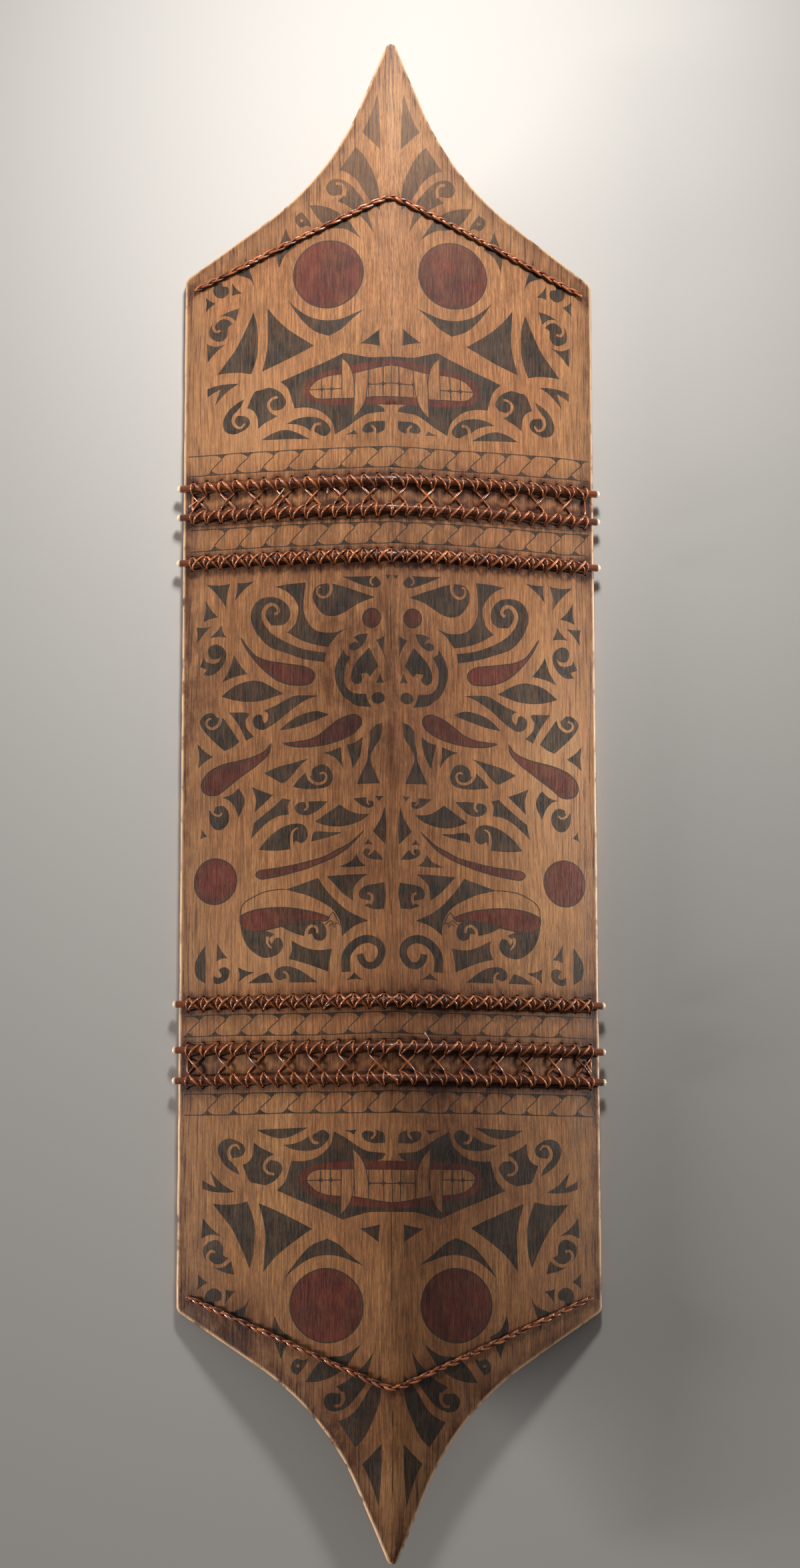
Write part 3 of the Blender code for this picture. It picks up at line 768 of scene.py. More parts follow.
rings = [front_rings[0]]
for ring in rim_rings():
    rings.append(range(len(places), len(places) + len(ring)))
    places += ring
rings.append([k + back_start for k in back_rings[0]])
face_parts += [BACK] * (len(faces) - len(face_parts))
for upper, lower in zip(rings, rings[1:]):
    count = len(upper)
    faces += [(upper[k], lower[k], lower[(k + 1) % count], upper[(k + 1) % count]) for k in range(count)]
face_parts += [RIM] * (len(faces) - len(face_parts))
for upper, lower in zip(front_rings[1:], back_rings[1:]):
    faces += [(upper[k], upper[(k + 1) % hole_sides], lower[(k + 1) % hole_sides] + back_start,
               lower[k] + back_start) for k in range(hole_sides)]
face_parts += [HOLE] * (len(faces) - len(face_parts))
face_paint += [BARE] * (len(faces) - len(face_paint))

grip_length = 0.210
grip_bar_length = 0.140
grip_width = 0.030
grip_depth = 0.014
grip_ground_clearance = 0.002
finger_gap_length = 0.104
finger_gap_radius = 0.008


def grip_sections():
    """The grip as rounded sections: out of the board, along the bar, and into the board again."""
    root = back_height(0) + ridge_thickness / 2
    back = back_height(0)
    floor_height = grip_ground_clearance + grip_depth
    bar, foot, gap = grip_bar_length / 2, grip_length / 2, finger_gap_length / 2
    outer = [(foot, root), (foot, back), (foot - 0.012, back - 0.0125), (foot - 0.024, back - 0.025),
             (bar + 0.004, grip_ground_clearance + 0.0042), (bar - 0.001, grip_ground_clearance + 0.0009),
             (bar - 0.010, grip_ground_clearance)]
    inner = [(gap, root), (gap, back - 0.004), (gap, back - 0.010), (gap, floor_height + finger_gap_radius),
             (gap - 0.0012, floor_height + 0.0038), (gap - 0.0042, floor_height + 0.0010),
             (gap - finger_gap_radius - 0.004, floor_height)]
    half = list(zip(outer, inner))
    half += [((y, grip_ground_clearance), (y * 0.92, floor_height)) for y in (0.040, 0.027, 0.013, 0)]
    both = half + [((-out_y, out_z), (-in_y, in_z)) for (out_y, out_z), (in_y, in_z) in reversed(half[:-1])]
    around = 20
    sections = []
    for (out_y, out_z), (in_y, in_z) in both:
        across_half = grip_width / 2 * (0.90 + 0.10 * min(1, abs(in_y) / gap))
        section = []
        for k in range(around):
            turn = 2 * math.pi * k / around
            side, deep = math.cos(turn), math.sin(turn)
            side = math.copysign(abs(side) ** 0.55, side)
            deep = math.copysign(abs(deep) ** 0.55, deep)
            y = (out_y + in_y) / 2 + (out_y - in_y) / 2 * deep
            z = (out_z + in_z) / 2 + (out_z - in_z) / 2 * deep
            section.append((across_half * side, y, z))
        sections.append(section)
    return sections


def sweep(sections):
    """Faces round a row of sections, each a list of places, with their ends closed."""
    sides = len(sections[0])
    found = []
    for row in range(len(sections) - 1):
        near, far = row * sides, (row + 1) * sides
        found += [(near + k, near + (k + 1) % sides, far + (k + 1) % sides, far + k) for k in range(sides)]
    last = (len(sections) - 1) * sides
    return found + [tuple(range(sides))[::-1], tuple(range(last, last + sides))]


grip_rings = grip_sections()
faces += [tuple(k + len(places) for k in face) for face in sweep(grip_rings)]
places += [corner for section in grip_rings for corner in section]
face_parts += [GRIP] * (len(faces) - len(face_parts))
face_paint += [BARE] * (len(faces) - len(face_paint))

board_mesh = bpy.data.meshes.new("painted_board")
board_mesh.from_pydata(places, [], [[int(k) for k in face] for face in faces])
board_mesh.shade_smooth()
board_mesh.set_sharp_from_angle(angle=math.radians(38))
painted_board = bpy.data.objects.new("painted_board", board_mesh)
bpy.context.scene.collection.objects.link(painted_board)

# The painted board's attributes
# They say what colour each face is painted, how near the rim the wood is, and where smoke and handling
# have darkened it. The same value also carries painted shade beside the rods and braids, round the
# stitch holes and on the lower right wing, and painted light along the right edge and near the points.
def set_values(mesh, name, values):
    """Stores a value at each of a mesh's vertices for its material."""
    attribute = mesh.attributes.new(name, "FLOAT", "POINT")
    attribute.data.foreach_set("value", np.array(values, np.float32))


corner_counts = np.array([len(face) for face in faces])
corner_paint = np.repeat(np.array(face_paint), corner_counts)
corner_y = np.array([places[k][1] for face in faces for k in face])
worn_from, worn_over, most_worn = 0.43, 0.09, 0.32
worn_thin = most_worn * np.clip((corner_y - worn_from) / worn_over, 0, 1)
paint_colours = np.zeros((len(corner_paint), 4), np.float32)
for channel, colour in enumerate((CHARCOAL, RED, LINE)):
    paint_colours[:, channel] = (corner_paint == colour) * (1 - worn_thin)
paint_colours[:, 3] = 1
board_mesh.attributes.new("paint", "FLOAT_COLOR", "CORNER").data.foreach_set("color", paint_colours.ravel())

braid_end_margin = 0.0090
braid_end_place = shoulder_distance - 0.0110
braid_ridge_place = half_length - 0.1350


def braid_place(x, end_place, ridge_place):
    """Where along the board a braid lies at a distance from the ridge, its bend there a little soft."""
    reach = half_width - braid_end_margin
    soft = np.hypot(x, 0.004) / math.hypot(reach, 0.004)
    return ridge_place + (end_place - ridge_place) * soft


board_x, board_y = np.array(places)[:, :2].T
edge_distance = np.min([np.hypot(board_x - x, board_y - y) for x, y in plan], axis=0)
rod_distance = np.min([np.abs(board_y - place) for place in rod_places], axis=0)
hole_distance = np.min([np.hypot(board_x - x, board_y - y) for x, y in holes], axis=0)
braid_distance = np.abs(np.abs(board_y) - braid_place(board_x, braid_end_place, braid_ridge_place))
# Darker near the rim from handling and in a broad band round the rods from dirt. The narrow dark bands beside
# the rods and the rings round each stitch hole are painted shade, and so are the bands beside the braids,
# with some dirt.
grime_and_shade = 0.85 * np.exp(-edge_distance / 0.014) + 0.55 * np.exp(-braid_distance / 0.006)
grime_and_shade += 0.40 * np.exp(-(rod_distance / 0.019) ** 2) + 0.70 * np.exp(-rod_distance / 0.0035)
grime_and_shade += 0.90 * np.exp(-(hole_distance / 0.0021) ** 2)
# Each stain's middle, half width, half length and strength, which is below nothing where it is bleached.
# Most are smoke and handling stains. The dark ones on the lower right wing are painted shade, and the pale
# ones along the right edge and near the two points are painted light.
stains = (
    (0.0, -0.640, 0.060, 0.120, 0.15), (0.028, -0.450, 0.030, 0.150, 0.45),
    (0.055, -0.300, 0.060, 0.070, 0.55), (0.0, 0.030, 0.004, 0.060, 0.25),
    (-0.034, 0.045, 0.045, 0.110, 0.26), (0.026, 0.010, 0.050, 0.150, 0.22),
    (-0.035, 0.110, 0.100, 0.080, 0.50), (-0.035, -0.075, 0.030, 0.030, 0.40),
    (0.100, -0.490, 0.060, 0.060, 0.20), (-0.132, -0.465, 0.040, 0.060, 0.65),
    (-0.150, 0.080, 0.030, 0.060, 0.25), (0.0, 0.310, 0.070, 0.080, 0.30),
    (0.030, -0.150, 0.030, 0.120, 0.25), (-0.050, -0.520, 0.050, 0.040, 0.45),
    (-0.100, -0.160, 0.090, 0.070, -0.30), (0.145, 0.010, 0.040, 0.130, -0.50),
    (-0.120, 0.300, 0.060, 0.080, -0.30), (0.020, -0.570, 0.030, 0.050, -0.35),
    (0.010, 0.575, 0.030, 0.050, -0.35), (-0.090, 0.0, 0.070, 0.050, 0.22))
for x, y, half_across, half_along, strength in stains:
    grime_and_shade += strength * np.exp(-((board_x - x) / half_across) ** 2 - ((board_y - y) / half_along) ** 2)
set_values(board_mesh, "grime_and_shade", grime_and_shade)
edge_reach = 0.03
underside_edge = 0.12
from_edge = np.clip(edge_distance / edge_reach, 0, 1)
for ring in rings[4:]:
    from_edge[list(ring)] = underside_edge
set_values(board_mesh, "edge", from_edge)

# The painted board's bake map
# The front's two halves lie side by side, the back above them, the rim in four runs down the right,
# and the stitch holes and the grip in the corner left over.
front_map_scale = 1.23
front_map_low = 0.02
top_map_middle, bottom_map_middle = 0.23, 0.68
back_map_scale = 0.52
back_map_middle = (0.34, 0.903)
rim_map_corner = (0.905, 0.01)
rim_run_width = 0.024
hole_map_corner = (0.68, 0.81)
grip_map_corner = (0.68, 0.945)
grip_end_across, grip_end_radius = 0.893, 0.004
steps_in_run = math.ceil(len(plan) / 4)
rim_cell = (0.003, 0.98 / steps_in_run)
hole_cell = (0.0015, 0.006)
holes_in_row = 17
grip_cell = (0.205 / (len(grip_rings) - 1), 0.05 / len(grip_rings[0]))


def map_cell(left, low, width, height):
    """The four corners of a rim, hole or grip face in the map."""
    return [(left, low), (left, low + height), (left + width, low + height), (left + width, low)]


def map_corners(face, part, number):
    """The places in the map of a face's corners. It is the part's face of that number."""
    corners = [places[k] for k in face]
    if part == FRONT:
        turn = 1 if sum(y for x, y, z in corners) > 0 else -1
        middle = top_map_middle if turn > 0 else bottom_map_middle
        scale = turn * front_map_scale
        return [(middle + scale * x, front_map_low + scale * y) for x, y, z in corners]
    if part == BACK:
        return [(back_map_middle[0] + back_map_scale * y, back_map_middle[1] + back_map_scale * x)
                for x, y, z in corners]
    if part == RIM:
        ring, step = divmod(number, len(plan))
        run, step = divmod(step, steps_in_run)
        left = rim_map_corner[0] + rim_run_width * run + rim_cell[0] * ring
        return map_cell(left, rim_map_corner[1] + rim_cell[1] * step, *rim_cell)
    if part == HOLE:
        row, column = divmod(number, holes_in_row * hole_sides)
        left = hole_map_corner[0] + hole_cell[0] * column
        return map_cell(left, hole_map_corner[1] + hole_cell[1] * row, *hole_cell)
    if len(face) == 4:
        row, side = divmod(number, len(grip_rings[0]))
        left = grip_map_corner[0] + grip_cell[0] * row
        return map_cell(left, grip_map_corner[1] + grip_cell[1] * side, *grip_cell)
    height = 0.955 if corners[0][1] > 0 else 0.975
    turns = [2 * math.pi * k / len(face) for k in range(len(face))]
    return [(grip_end_across + grip_end_radius * math.cos(turn), height + grip_end_radius * math.sin(turn))
            for turn in turns]


counted = [0] * 5
bake_places = []
for face, part in zip(faces, face_parts):
    bake_places += map_corners(face, part, counted[part])
    counted[part] += 1
bake_map = board_mesh.uv_layers.new(name="OFBake")
bake_map.uv.foreach_set("vector", np.array(bake_places, np.float32).ravel())

# The painted board's material
# Old open-grained wood with fine pores, darkened by smoke and hands and by painted shade beside the
# rods, braids and stitch holes and on the lower right wing. It is paler with painted light along the rim, the
# right edge and near the points. The charcoal and the red are thin, so the grain shows through them.
def add(tree, kind, inputs=None, **settings):
    """A new node with its settings, its inputs linked or set."""
    new = tree.nodes.new(kind)
    for name, value in settings.items():
        setattr(new, name, value)
    for name, value in (inputs or {}).items():
        if isinstance(value, bpy.types.NodeSocket):
            tree.links.new(value, new.inputs[name])
        else:
            new.inputs[name].default_value = value
    return new


def maths(tree, operation, first, second=0.0, third=0.0, clamp=False):
    new = add(tree, "ShaderNodeMath", operation=operation, use_clamp=clamp)
    for socket, value in zip(new.inputs, (first, second, third)):
        if isinstance(value, bpy.types.NodeSocket):
            tree.links.new(value, socket)
        else:
            socket.default_value = value
    return new.outputs[0]


def mixed(tree, share, first, second, blend="MIX"):
    """Two colours mixed by a share. Each may be a socket or a colour."""
    new = add(tree, "ShaderNodeMix", data_type="RGBA", blend_type=blend)
    for index, value in ((0, share), (6, first), (7, second)):
        if isinstance(value, bpy.types.NodeSocket):
            tree.links.new(value, new.inputs[index])
        elif index == 0:
            new.inputs[0].default_value = value
        else:
            new.inputs[index].default_value = (*value, 1)
    return new.outputs[2]


def eased(tree, value, low, high, result_low=0.0, result_high=1.0):
    """A value carried smoothly from one range to another."""
    new = add(tree, "ShaderNodeMapRange", {
        "Value": value, "From Min": low, "From Max": high,
        "To Min": result_low, "To Max": result_high}, interpolation_type="SMOOTHSTEP")
    return new.outputs[0]


def patches(tree, coordinates, per_metre, detail=2.0, roughness=0.5, shift=0.0):
    """Soft noise with so many patches a metre in x, y and z."""
    mapping = add(tree, "ShaderNodeMapping", {"Vector": coordinates, "Scale": per_metre,
                                              "Location": (shift, shift * 0.7, shift * 1.3)})
    return add(tree, "ShaderNodeTexNoise", {"Vector": mapping.outputs[0], "Scale": 1.0,
                                            "Detail": detail, "Roughness": roughness}).outputs["Fac"]


def bump(tree, height, strength, distance):
    """A normal roughened by a height."""
    new = add(tree, "ShaderNodeBump", {"Strength": strength, "Distance": distance, "Height": height})
    return new.outputs[0]


def new_group(name, inputs, outputs):
    """An empty node group with its sockets, its input node and its output node."""
    tree = bpy.data.node_groups.new(name, "ShaderNodeTree")
    for socket, kind in inputs.items():
        tree.interface.new_socket(socket, in_out="INPUT", socket_type=kind)
    for socket, kind in outputs.items():
        tree.interface.new_socket(socket, in_out="OUTPUT", socket_type=kind)
    return tree, tree.nodes.new("NodeGroupInput"), tree.nodes.new("NodeGroupOutput")


def use_group(tree, group, inputs):
    new = add(tree, "ShaderNodeGroup", node_tree=group)
    for name, value in inputs.items():
        tree.links.new(value, new.inputs[name])
    return new


COLOUR, VALUE, VECTOR = "NodeSocketColor", "NodeSocketFloat", "NodeSocketVector"
dark_stripe, light_stripe = (0.380, 0.166, 0.058), (0.490, 0.236, 0.092)
broad_tint = (0.375, 0.155, 0.058)
mottle_brown = (0.225, 0.095, 0.038)
pore_brown = (0.14, 0.056, 0.024)
rib_brown = (0.13, 0.055, 0.028)
crack_brown = (0.030, 0.014, 0.008)
bleached_and_highlit_wood = (0.60, 0.35, 0.17)
rubbed_and_highlit_wood = (0.66, 0.45, 0.26)
smoke_and_shade_tint, deep_smoke_and_shade_tint = (0.36, 0.20, 0.09), (0.45, 0.42, 0.40)
soot_dark, soot_light = (0.0078, 0.0076, 0.0064), (0.0230, 0.0218, 0.0182)
red_dark, red_light = (0.052, 0.0055, 0.0050), (0.120, 0.0110, 0.0088)
line_brown = (0.022, 0.018, 0.014)


def make_wood_group():
    tree, given, result = new_group(
        "Old wood", {"Place": VECTOR, "Grime and shade": VALUE, "Edge": VALUE},
        {"Color": COLOUR, "Roughness": VALUE, "Height": VALUE, "Smoke and shade": VALUE})
    place = given.outputs["Place"]
    sway = patches(tree, place, (14, 5, 5), 1.0)
    bent = add(tree, "ShaderNodeCombineXYZ", {"X": maths(tree, "MULTIPLY", sway, 0.012)})
    along_grain = add(tree, "ShaderNodeVectorMath", {0: place, 1: bent.outputs[0]}, operation="ADD")
    grain_place = along_grain.outputs[0]
    fibres = patches(tree, grain_place, (850, 36, 850), 5.0, 0.74)
    stripes = patches(tree, grain_place, (110, 2.6, 110), 3.0, 0.6, 3.0)
    broad = patches(tree, place, (9, 4, 9), 3.0, 0.55, 7.0)
    pores = eased(tree, patches(tree, grain_place, (1700, 150, 1700), 1.0, 0.5, 11.0), 0.55, 0.66)
    ribs = eased(tree, patches(tree, grain_place, (720, 18, 720), 4.0, 0.68, 5.0), 0.51, 0.60)
    near_edge = maths(tree, "SUBTRACT", 1.0, given.outputs["Edge"], clamp=True)

    colour = mixed(tree, eased(tree, stripes, 0.30, 0.70), dark_stripe, light_stripe)
    colour = mixed(tree, eased(tree, broad, 0.34, 0.68), colour, broad_tint)
    mottle = eased(tree, patches(tree, place, (60, 30, 60), 7.0, 0.78, 15.0), 0.40, 0.66, 0.0, 0.60)
    colour = mixed(tree, mottle, colour, mottle_brown)
    fibre_shade = eased(tree, fibres, 0.34, 0.66, 0.56, 1.32)
    shade = add(tree, "ShaderNodeCombineColor", {0: fibre_shade, 1: fibre_shade, 2: fibre_shade})
    colour = mixed(tree, 1.0, colour, shade.outputs[0], "MULTIPLY")
    colour = mixed(tree, maths(tree, "MULTIPLY", pores, 0.50), colour, pore_brown)
    rib_share = maths(tree, "MULTIPLY", ribs, maths(tree, "MULTIPLY_ADD", near_edge, 0.72, 0.20))
    colour = mixed(tree, rib_share, colour, rib_brown)
    # The wood is paler near the rim, where it is weathered, and where the value is below nothing. Those
    # places are bleached patches, and painted light along the right edge and near the two points.
    pale = maths(tree, "MULTIPLY", given.outputs["Grime and shade"], -1.0, clamp=True)
    pale = maths(tree, "ADD", pale, maths(tree, "MULTIPLY", near_edge, 0.42), clamp=True)
    bleached_and_highlit = maths(tree, "MULTIPLY", maths(tree, "SUBTRACT", 1.0, ribs), pale)
    colour = mixed(tree, bleached_and_highlit, colour, bleached_and_highlit_wood)
    from_ridge = add(tree, "ShaderNodeSeparateXYZ", {0: place}).outputs["X"]
    from_ridge = maths(tree, "ADD", from_ridge, maths(tree, "MULTIPLY_ADD", sway, 0.006, -0.003))
    crack = maths(tree, "MULTIPLY", eased(tree, maths(tree, "ABSOLUTE", from_ridge), 0.0008, 0.0002),
                  eased(tree, patches(tree, place, (0, 16, 0), 3.0, 0.7, 1.5), 0.52, 0.58))
    colour = mixed(tree, maths(tree, "MULTIPLY", crack, 0.75), colour, crack_brown)
    # Patches of smoke and handling stain, and of the painted shade that the same value carries.
    smoke_and_shade_patches = eased(tree, patches(tree, place, (75, 42, 75), 5.0, 0.7, 2.0), 0.32, 0.68, 0.55, 1.12)
    smoke_and_shade = maths(tree, "MULTIPLY", given.outputs["Grime and shade"], smoke_and_shade_patches, clamp=True)
    # A pale line along the rim: wood worn at the arris, and a painted highlight where the edge catches the
    # light.
    rubbed = maths(tree, "MULTIPLY", eased(tree, given.outputs["Edge"], 0.11, 0.02),
                   eased(tree, patches(tree, place, (60, 60, 60), 4.0, 0.6, 12.0), 0.30, 0.50))
    colour = mixed(tree, maths(tree, "MULTIPLY", rubbed, 0.65), colour, rubbed_and_highlit_wood)
    tree.links.new(colour, result.inputs["Color"])
    smoke_and_shade = maths(tree, "MULTIPLY", smoke_and_shade, maths(tree, "SUBTRACT", 1.0, rubbed))
    tree.links.new(smoke_and_shade, result.inputs["Smoke and shade"])

    rough = maths(tree, "ADD", eased(tree, fibres, 0.3, 0.7, 0.40, 0.56), maths(tree, "MULTIPLY", pores, 0.2))
    tree.links.new(rough, result.inputs["Roughness"])
    height = maths(tree, "MULTIPLY_ADD", pores, -0.7, maths(tree, "MULTIPLY", fibres, 0.6))
    height = maths(tree, "SUBTRACT", height, maths(tree, "MULTIPLY", rib_share, 1.2))
    tree.links.new(height, result.inputs["Height"])
    return tree


def new_material(name):
    """A material, its node tree and its shader."""
    material = bpy.data.materials.new(name)
    material.use_nodes = True
    return material, material.node_tree, material.node_tree.nodes["Principled BSDF"]


def make_painted_wood():
    material, tree, shader = new_material("Painted old wood")
    place = add(tree, "ShaderNodeTexCoord").outputs["Object"]
    grime_and_shade = add(tree, "ShaderNodeAttribute", attribute_name="grime_and_shade").outputs["Fac"]
    edge = add(tree, "ShaderNodeAttribute", attribute_name="edge").outputs["Fac"]
    wood = use_group(tree, old_wood, {"Place": place, "Grime and shade": grime_and_shade, "Edge": edge})
    paint_mask = add(tree, "ShaderNodeAttribute", attribute_name="paint").outputs["Color"]
    masks = add(tree, "ShaderNodeSeparateColor", {0: paint_mask})

    thin = eased(tree, patches(tree, place, (70, 45, 70), 5.0, 0.75, 4.0), 0.38, 0.72, 1.0, 0.86)
    rubbed = eased(tree, patches(tree, place, (800, 60, 800), 4.0, 0.7, 6.0), 0.38, 0.64, 1.0, 0.80)
    cover = maths(tree, "MULTIPLY", thin, rubbed)
    soot_patches = eased(tree, patches(tree, place, (38, 24, 38), 3.0, 0.6, 8.0), 0.35, 0.65)
    soot = mixed(tree, soot_patches, soot_dark, soot_light)
    blotch = eased(tree, patches(tree, place, (42, 34, 42), 5.0, 0.7, 9.0), 0.38, 0.66)
    red = mixed(tree, blotch, red_dark, red_light)

    colour = mixed(tree, maths(tree, "MULTIPLY", masks.outputs[0], cover), wood.outputs["Color"], soot)
    colour = mixed(tree, maths(tree, "MULTIPLY", masks.outputs[1], cover), colour, red)
    colour = mixed(tree, maths(tree, "MULTIPLY", masks.outputs[2], 0.9), colour, line_brown)
    # The smoke and handling value darkens the wood and its paint together. It also carries the painted shade
    # beside the rods, braids and stitch holes and on the lower right wing.
    smoke_and_shade = wood.outputs["Smoke and shade"]
    colour = mixed(tree, smoke_and_shade, colour, smoke_and_shade_tint, "MULTIPLY")
    colour = mixed(tree, maths(tree, "MULTIPLY", smoke_and_shade, smoke_and_shade), colour, deep_smoke_and_shade_tint, "MULTIPLY")
    tree.links.new(colour, shader.inputs["Base Color"])
    tree.links.new(wood.outputs["Roughness"], shader.inputs["Roughness"])
    tree.links.new(bump(tree, wood.outputs["Height"], 0.20, 0.0006), shader.inputs["Normal"])
    return material


old_wood = make_wood_group()
painted_wood = make_painted_wood()
board_mesh.materials.append(painted_wood)
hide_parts("board")
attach(painted_board, "root")

# The rods
# Six lengths of rattan cane bent over the ridge and sewn down by the lacing. Their cut ends stand past
# the board, pale and fibrous, with the corners worn round.
rod_radius = 0.0030
rod_overhang = 0.0045
touching_gap = 0.0003
rod_length_step = 0.0035
rod_sides = 16
bark_dark, bark_light = (0.105, 0.020, 0.009), (0.80, 0.265, 0.085)
fibre_brown = (0.12, 0.026, 0.011)
stain_brown = (0.060, 0.017, 0.010)
vessel_brown, pith_pale = (0.42, 0.26, 0.15), (0.82, 0.68, 0.50)


def directions(places):
    """The direction of a path at each of its places."""
    steps = [(following - place).normalized() for place, following in zip(places, places[1:])]
    return [steps[0]] + [(a + b).normalized() for a, b in zip(steps, steps[1:])] + [steps[-1]]


def piece_from_faces(name, places, faces, material, sharp_angle=40):
    """A smooth mesh piece of the object, riding on its one body."""
    mesh = bpy.data.meshes.new(name)
    mesh.from_pydata(places, [], faces)
    mesh.shade_smooth()
    mesh.set_sharp_from_angle(angle=math.radians(sharp_angle))
    mesh.materials.append(material)
    piece = bpy.data.objects.new(name, mesh)
    bpy.context.scene.collection.objects.link(piece)
    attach(piece, "root")
    return piece


def make_rod(name, rod_place, seed):
    reach = half_width + rod_overhang
    steps = round(2 * reach / rod_length_step)
    rounding = [0, 0.00025, 0.0009, 0.0018]
    between = [2 * reach * k / steps for k in range(1, steps)]
    stations = rounding + between + [2 * reach - back for back in reversed(rounding)]
    middle_line = []
    for station in stations:
        x = station - reach
        over_board = max(-half_width, min(half_width, x))
        sway = 0.0005 * noise.noise(Vector((x * 9, seed * 3.7, 0)))
        place = front_point(over_board, rod_place + sway, rod_radius + touching_gap)
        slope = (front_height(half_width) - front_height(half_width - 0.001)) / 0.001
        place.z += slope * (abs(x) - abs(over_board))
        place.x = x
        middle_line.append(place)
    sections, cuts = [], []
    for k, (place, along) in enumerate(zip(middle_line, directions(middle_line))):
        side = Vector((0, 0, 1)).cross(along).normalized()
        up = along.cross(side)
        end_step = min(k, len(stations) - 1 - k)
        size = rod_radius * (0.975 + 0.025 * noise.noise(Vector((place.x * 30, seed, 4))))
        size *= (0.70, 0.86, 0.97, 1.0)[min(end_step, 3)]
        section = []
        for n in range(rod_sides):
            turn = 2 * math.pi * n / rod_sides
            section.append(place + size * (math.cos(turn) * side + math.sin(turn) * up))
        sections.append(section)
        cuts += [1.0 if end_step < 4 else 0.0] * rod_sides
    places = [corner for section in sections for corner in section]
    rod = piece_from_faces(name + "_cane", places, sweep(sections), cane, 50)
    set_values(rod.data, "cut", cuts)
    set_values(rod.data, "tone", [0.14 + 0.1 * noise.noise(Vector((seed * 5.3, 0, 0)))] * len(places))
    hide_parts(name)


def make_rattan_group():
    """Rattan's colour and gloss: long fibres, darker stains, and a gloss that is duller where the stains are.
    """
    tree, given, result = new_group(
        "Rattan", {"Fibre place": VECTOR, "Place": VECTOR, "Tone": VALUE},
        {"Color": COLOUR, "Roughness": VALUE, "Height": VALUE})
    fibres = patches(tree, given.outputs["Fibre place"], (40, 2600, 2600), 3.0, 0.6)
    stains = patches(tree, given.outputs["Place"], (90, 130, 130), 4.0, 0.65, 3.0)
    light = mixed(tree, given.outputs["Tone"], bark_dark, bark_light)
    colour = mixed(tree, eased(tree, fibres, 0.28, 0.62), fibre_brown, light)
    colour = mixed(tree, eased(tree, stains, 0.46, 0.70, 0.0, 0.80), colour, stain_brown)
    tree.links.new(colour, result.inputs["Color"])
    tree.links.new(eased(tree, stains, 0.3, 0.75, 0.24, 0.46), result.inputs["Roughness"])
    tree.links.new(fibres, result.inputs["Height"])
    return tree


def make_cane():
    material, tree, shader = new_material("Rattan cane")
    place = add(tree, "ShaderNodeTexCoord").outputs["Object"]
    tone = add(tree, "ShaderNodeAttribute", attribute_name="tone").outputs["Fac"]
    cut = add(tree, "ShaderNodeAttribute", attribute_name="cut").outputs["Fac"]
    bark = use_group(tree, rattan, {"Fibre place": place, "Place": place, "Tone": tone})
    vessels = add(tree, "ShaderNodeTexVoronoi", {"Vector": place, "Scale": 2600.0}, feature="F1")
    pith = mixed(tree, eased(tree, vessels.outputs["Distance"], 0.15, 0.45), vessel_brown, pith_pale)
    colour = mixed(tree, eased(tree, cut, 0.35, 0.95), bark.outputs["Color"], pith)
    tree.links.new(colour, shader.inputs["Base Color"])
    tree.links.new(bark.outputs["Roughness"], shader.inputs["Roughness"])
    shader.inputs["Coat Weight"].default_value = 0.7
    shader.inputs["Coat Roughness"].default_value = 0.18
    tree.links.new(bump(tree, bark.outputs["Height"], 0.35, 0.0003), shader.inputs["Normal"])
    return material


rattan = make_rattan_group()
cane = make_cane()
for number, place in enumerate(rod_places):
    make_rod(f"rod_{number + 1}", place, number + 1)

# The lacing over the rods
# Strips of split rattan. A straight stitch and a slanting one go over the rod at each pair of holes,
# two slanting ones on the third and fourth rod, and each comes back flat across the hollow side.
strip_width = 0.0018
strip_thickness = 0.0009
strip_section = (
    (-0.5, 0.0), (-0.46, 0.55), (-0.2, 0.95), (0.2, 0.95), (0.46, 0.55), (0.5, 0.0), (0.0, -0.1))
hole_depth = 0.005
hole_squeeze = 0.75
back_tuck = 0.0022
straight_rise = 0.0001
slant_aside, slant_rise, second_slant_rise = 0.0004, 0.0004, 0.0002
over_stitch_rise, second_over_stitch_rise = 0.0003, 0.0006
ridge_reach = 0.05
side_dirt_and_shade = (0.030, 0.009, 0.006)
frayed_pale = (0.70, 0.58, 0.42)
chance = np.random.default_rng(17)


def strip_sections(places, ups, widths, thickness=strip_thickness):
    """A flat strip's sections along a path, its crowned face turned up."""
    sections = []
    for place, along, up, width in zip(places, directions(places), ups, widths):
        side = along.cross(up).normalized()
        outward = side.cross(along)
        sections.append([place + side * across * width + outward * high * thickness
                         for across, high in strip_section])
    return sections


class Strips:
    """Gathers separate strips into one mesh, with what their material needs at each vertex."""

    def __init__(self):
        self.places, self.faces, self.fibres, self.tones, self.frays = [], [], [], [], []

    def add(self, places, ups, widths, tone, frayed=0.0, thickness=strip_thickness):
        sections = strip_sections(places, ups, widths, thickness)
        first = len(self.places)
        start = chance.uniform(0, 5)
        run = start
        for k, section in enumerate(sections):
            if k:
                run += (places[k] - places[k - 1]).length
            self.places += section
            self.fibres += [(run, across * strip_width, start) for across, high in strip_section]
            share = k / (len(sections) - 1)
            self.frays += [frayed * share ** 3] * len(section)
            self.tones += [tone if np.isscalar(tone) else tone[k]] * len(section)
        self.faces += [tuple(k + first for k in face) for face in sweep(sections)]

    def make(self, name):
        piece = piece_from_faces(name, self.places, self.faces, split_rattan, 60)
        set_values(piece.data, "tone", self.tones)
        set_values(piece.data, "fray", self.frays)
        fibre = piece.data.attributes.new("fibre", "FLOAT_VECTOR", "POINT")
        fibre.data.foreach_set("vector", np.array(self.fibres, np.float32).ravel())
        return piece


